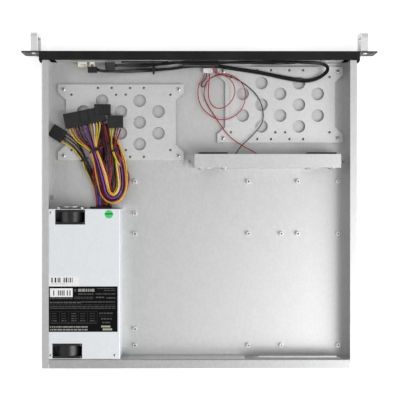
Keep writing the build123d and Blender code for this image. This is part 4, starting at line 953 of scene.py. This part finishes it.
def round_cord(name, route, diameter, finish):
    """A single round wire along its route."""
    piece = route_spline(name, route)
    piece.data.bevel_depth = diameter / 2 * mm
    piece.data.bevel_resolution = 3
    piece.data.use_fill_caps = True
    piece.data.materials.append(finish)
    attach(piece, "case")
    return piece


for name, route, colour, length, end, on_it in (
    ("fan_wire_black", BLACK_ROUTE, "black", 0.228, "connector", [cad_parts["fan_connector"]]),
    ("fan_wire_red", RED_ROUTE, "red", 0.366, "connector", [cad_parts["fan_connector"]]),
    ("light_wire_red", LIGHT_ROUTE, "red", 0.145, "object", []),
):
    wire = round_cord(name + "_jacket", route, THIN_WIRE, jackets[colour])
    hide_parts(name)

# The stage: a white table under the case, a camera high over it, a large soft lamp at the
# supply's side, a stronger one at the other side towards the rear, and even light all round.
TABLE_REACH = 6
TABLE_DROP = 0.0005
TABLE_WHITE = 0.9
TABLE_GLOW = 0.62
SKY_STRENGTH = 0.4
NEAR_LAMP_POWER = 6
FAR_LAMP_POWER = 25
corners = [(x * TABLE_REACH, y * TABLE_REACH, 0) for x, y in ((-1, -1), (1, -1), (1, 1), (-1, 1))]
floor_mesh = bpy.data.meshes.new("table")
floor_mesh.from_pydata(corners, [], [(0, 1, 2, 3)])
table_top = bpy.data.objects.new("table", floor_mesh)
table_top.location = (0, 0, -TABLE_DROP)
bpy.context.scene.collection.objects.link(table_top)
white, nodes, links, shader = new_finish("white table", 0.0, 0.9)
shader.inputs["Base Color"].default_value = (TABLE_WHITE, TABLE_WHITE, TABLE_WHITE, 1)
shader.inputs["Emission Color"].default_value = (1, 1, 1, 1)
seen = nodes.new("ShaderNodeLightPath")
glow = nodes.new("ShaderNodeMath")
glow.operation = "MULTIPLY"
glow.inputs[1].default_value = TABLE_GLOW
shown = nodes.new("ShaderNodeMath")
mirrored = nodes.new("ShaderNodeMath")
links.new(seen.outputs["Is Camera Ray"], shown.inputs[0])
links.new(seen.outputs["Is Glossy Ray"], shown.inputs[1])
links.new(shown.outputs[0], mirrored.inputs[0])
links.new(seen.outputs["Is Transmission Ray"], mirrored.inputs[1])
links.new(mirrored.outputs[0], glow.inputs[0])
links.new(glow.outputs[0], shader.inputs["Emission Strength"])
floor_mesh.materials.append(white)

world = bpy.data.worlds.new("studio")
bpy.context.scene.world = world
world.use_nodes = True
sky = world.node_tree.nodes["Background"]
sky.inputs["Color"].default_value = (1, 1, 1, 1)
sky.inputs["Strength"].default_value = SKY_STRENGTH


def soft_light(name, place, aim, size, power):
    """A large soft lamp that looks at a point."""
    lamp = bpy.data.lights.new(name, "AREA")
    lamp.shape = "RECTANGLE"
    lamp.size, lamp.size_y = size
    lamp.energy = power
    holder = bpy.data.objects.new(name, lamp)
    holder.location = place
    holder.rotation_euler = (Vector(aim) - Vector(place)).to_track_quat("-Z", "Y").to_euler()
    bpy.context.scene.collection.objects.link(holder)


soft_light("lamp near side", (1.5, -0.2, 1.3), (0, 0, 0), (0.6, 1.4), NEAR_LAMP_POWER)
soft_light("lamp far side", (-1.1, 0.6, 1.5), (0, 0, 0), (0.9, 1.4), FAR_LAMP_POWER)

CAMERA_PLACE = Vector((0.01164, -0.0215, 1.6082))
CAMERA_AIM = Vector((-0.00054, -0.01338, 0.0437))
FIELD_OF_VIEW = 19.63
camera = bpy.data.cameras.new("camera")
camera.sensor_fit = "HORIZONTAL"
camera.angle = math.radians(FIELD_OF_VIEW)
camera_holder = bpy.data.objects.new("camera", camera)
bpy.context.scene.collection.objects.link(camera_holder)
ahead = (CAMERA_AIM - CAMERA_PLACE).normalized()
to_right = ahead.cross(Vector((0, -1, 0))).normalized()
picture_up = to_right.cross(ahead)
turn = Matrix((to_right, picture_up, -ahead)).transposed().to_4x4()
camera_holder.matrix_world = Matrix.Translation(CAMERA_PLACE) @ turn
bpy.context.scene.camera = camera_holder
bpy.context.scene.view_settings.view_transform = "Standard"
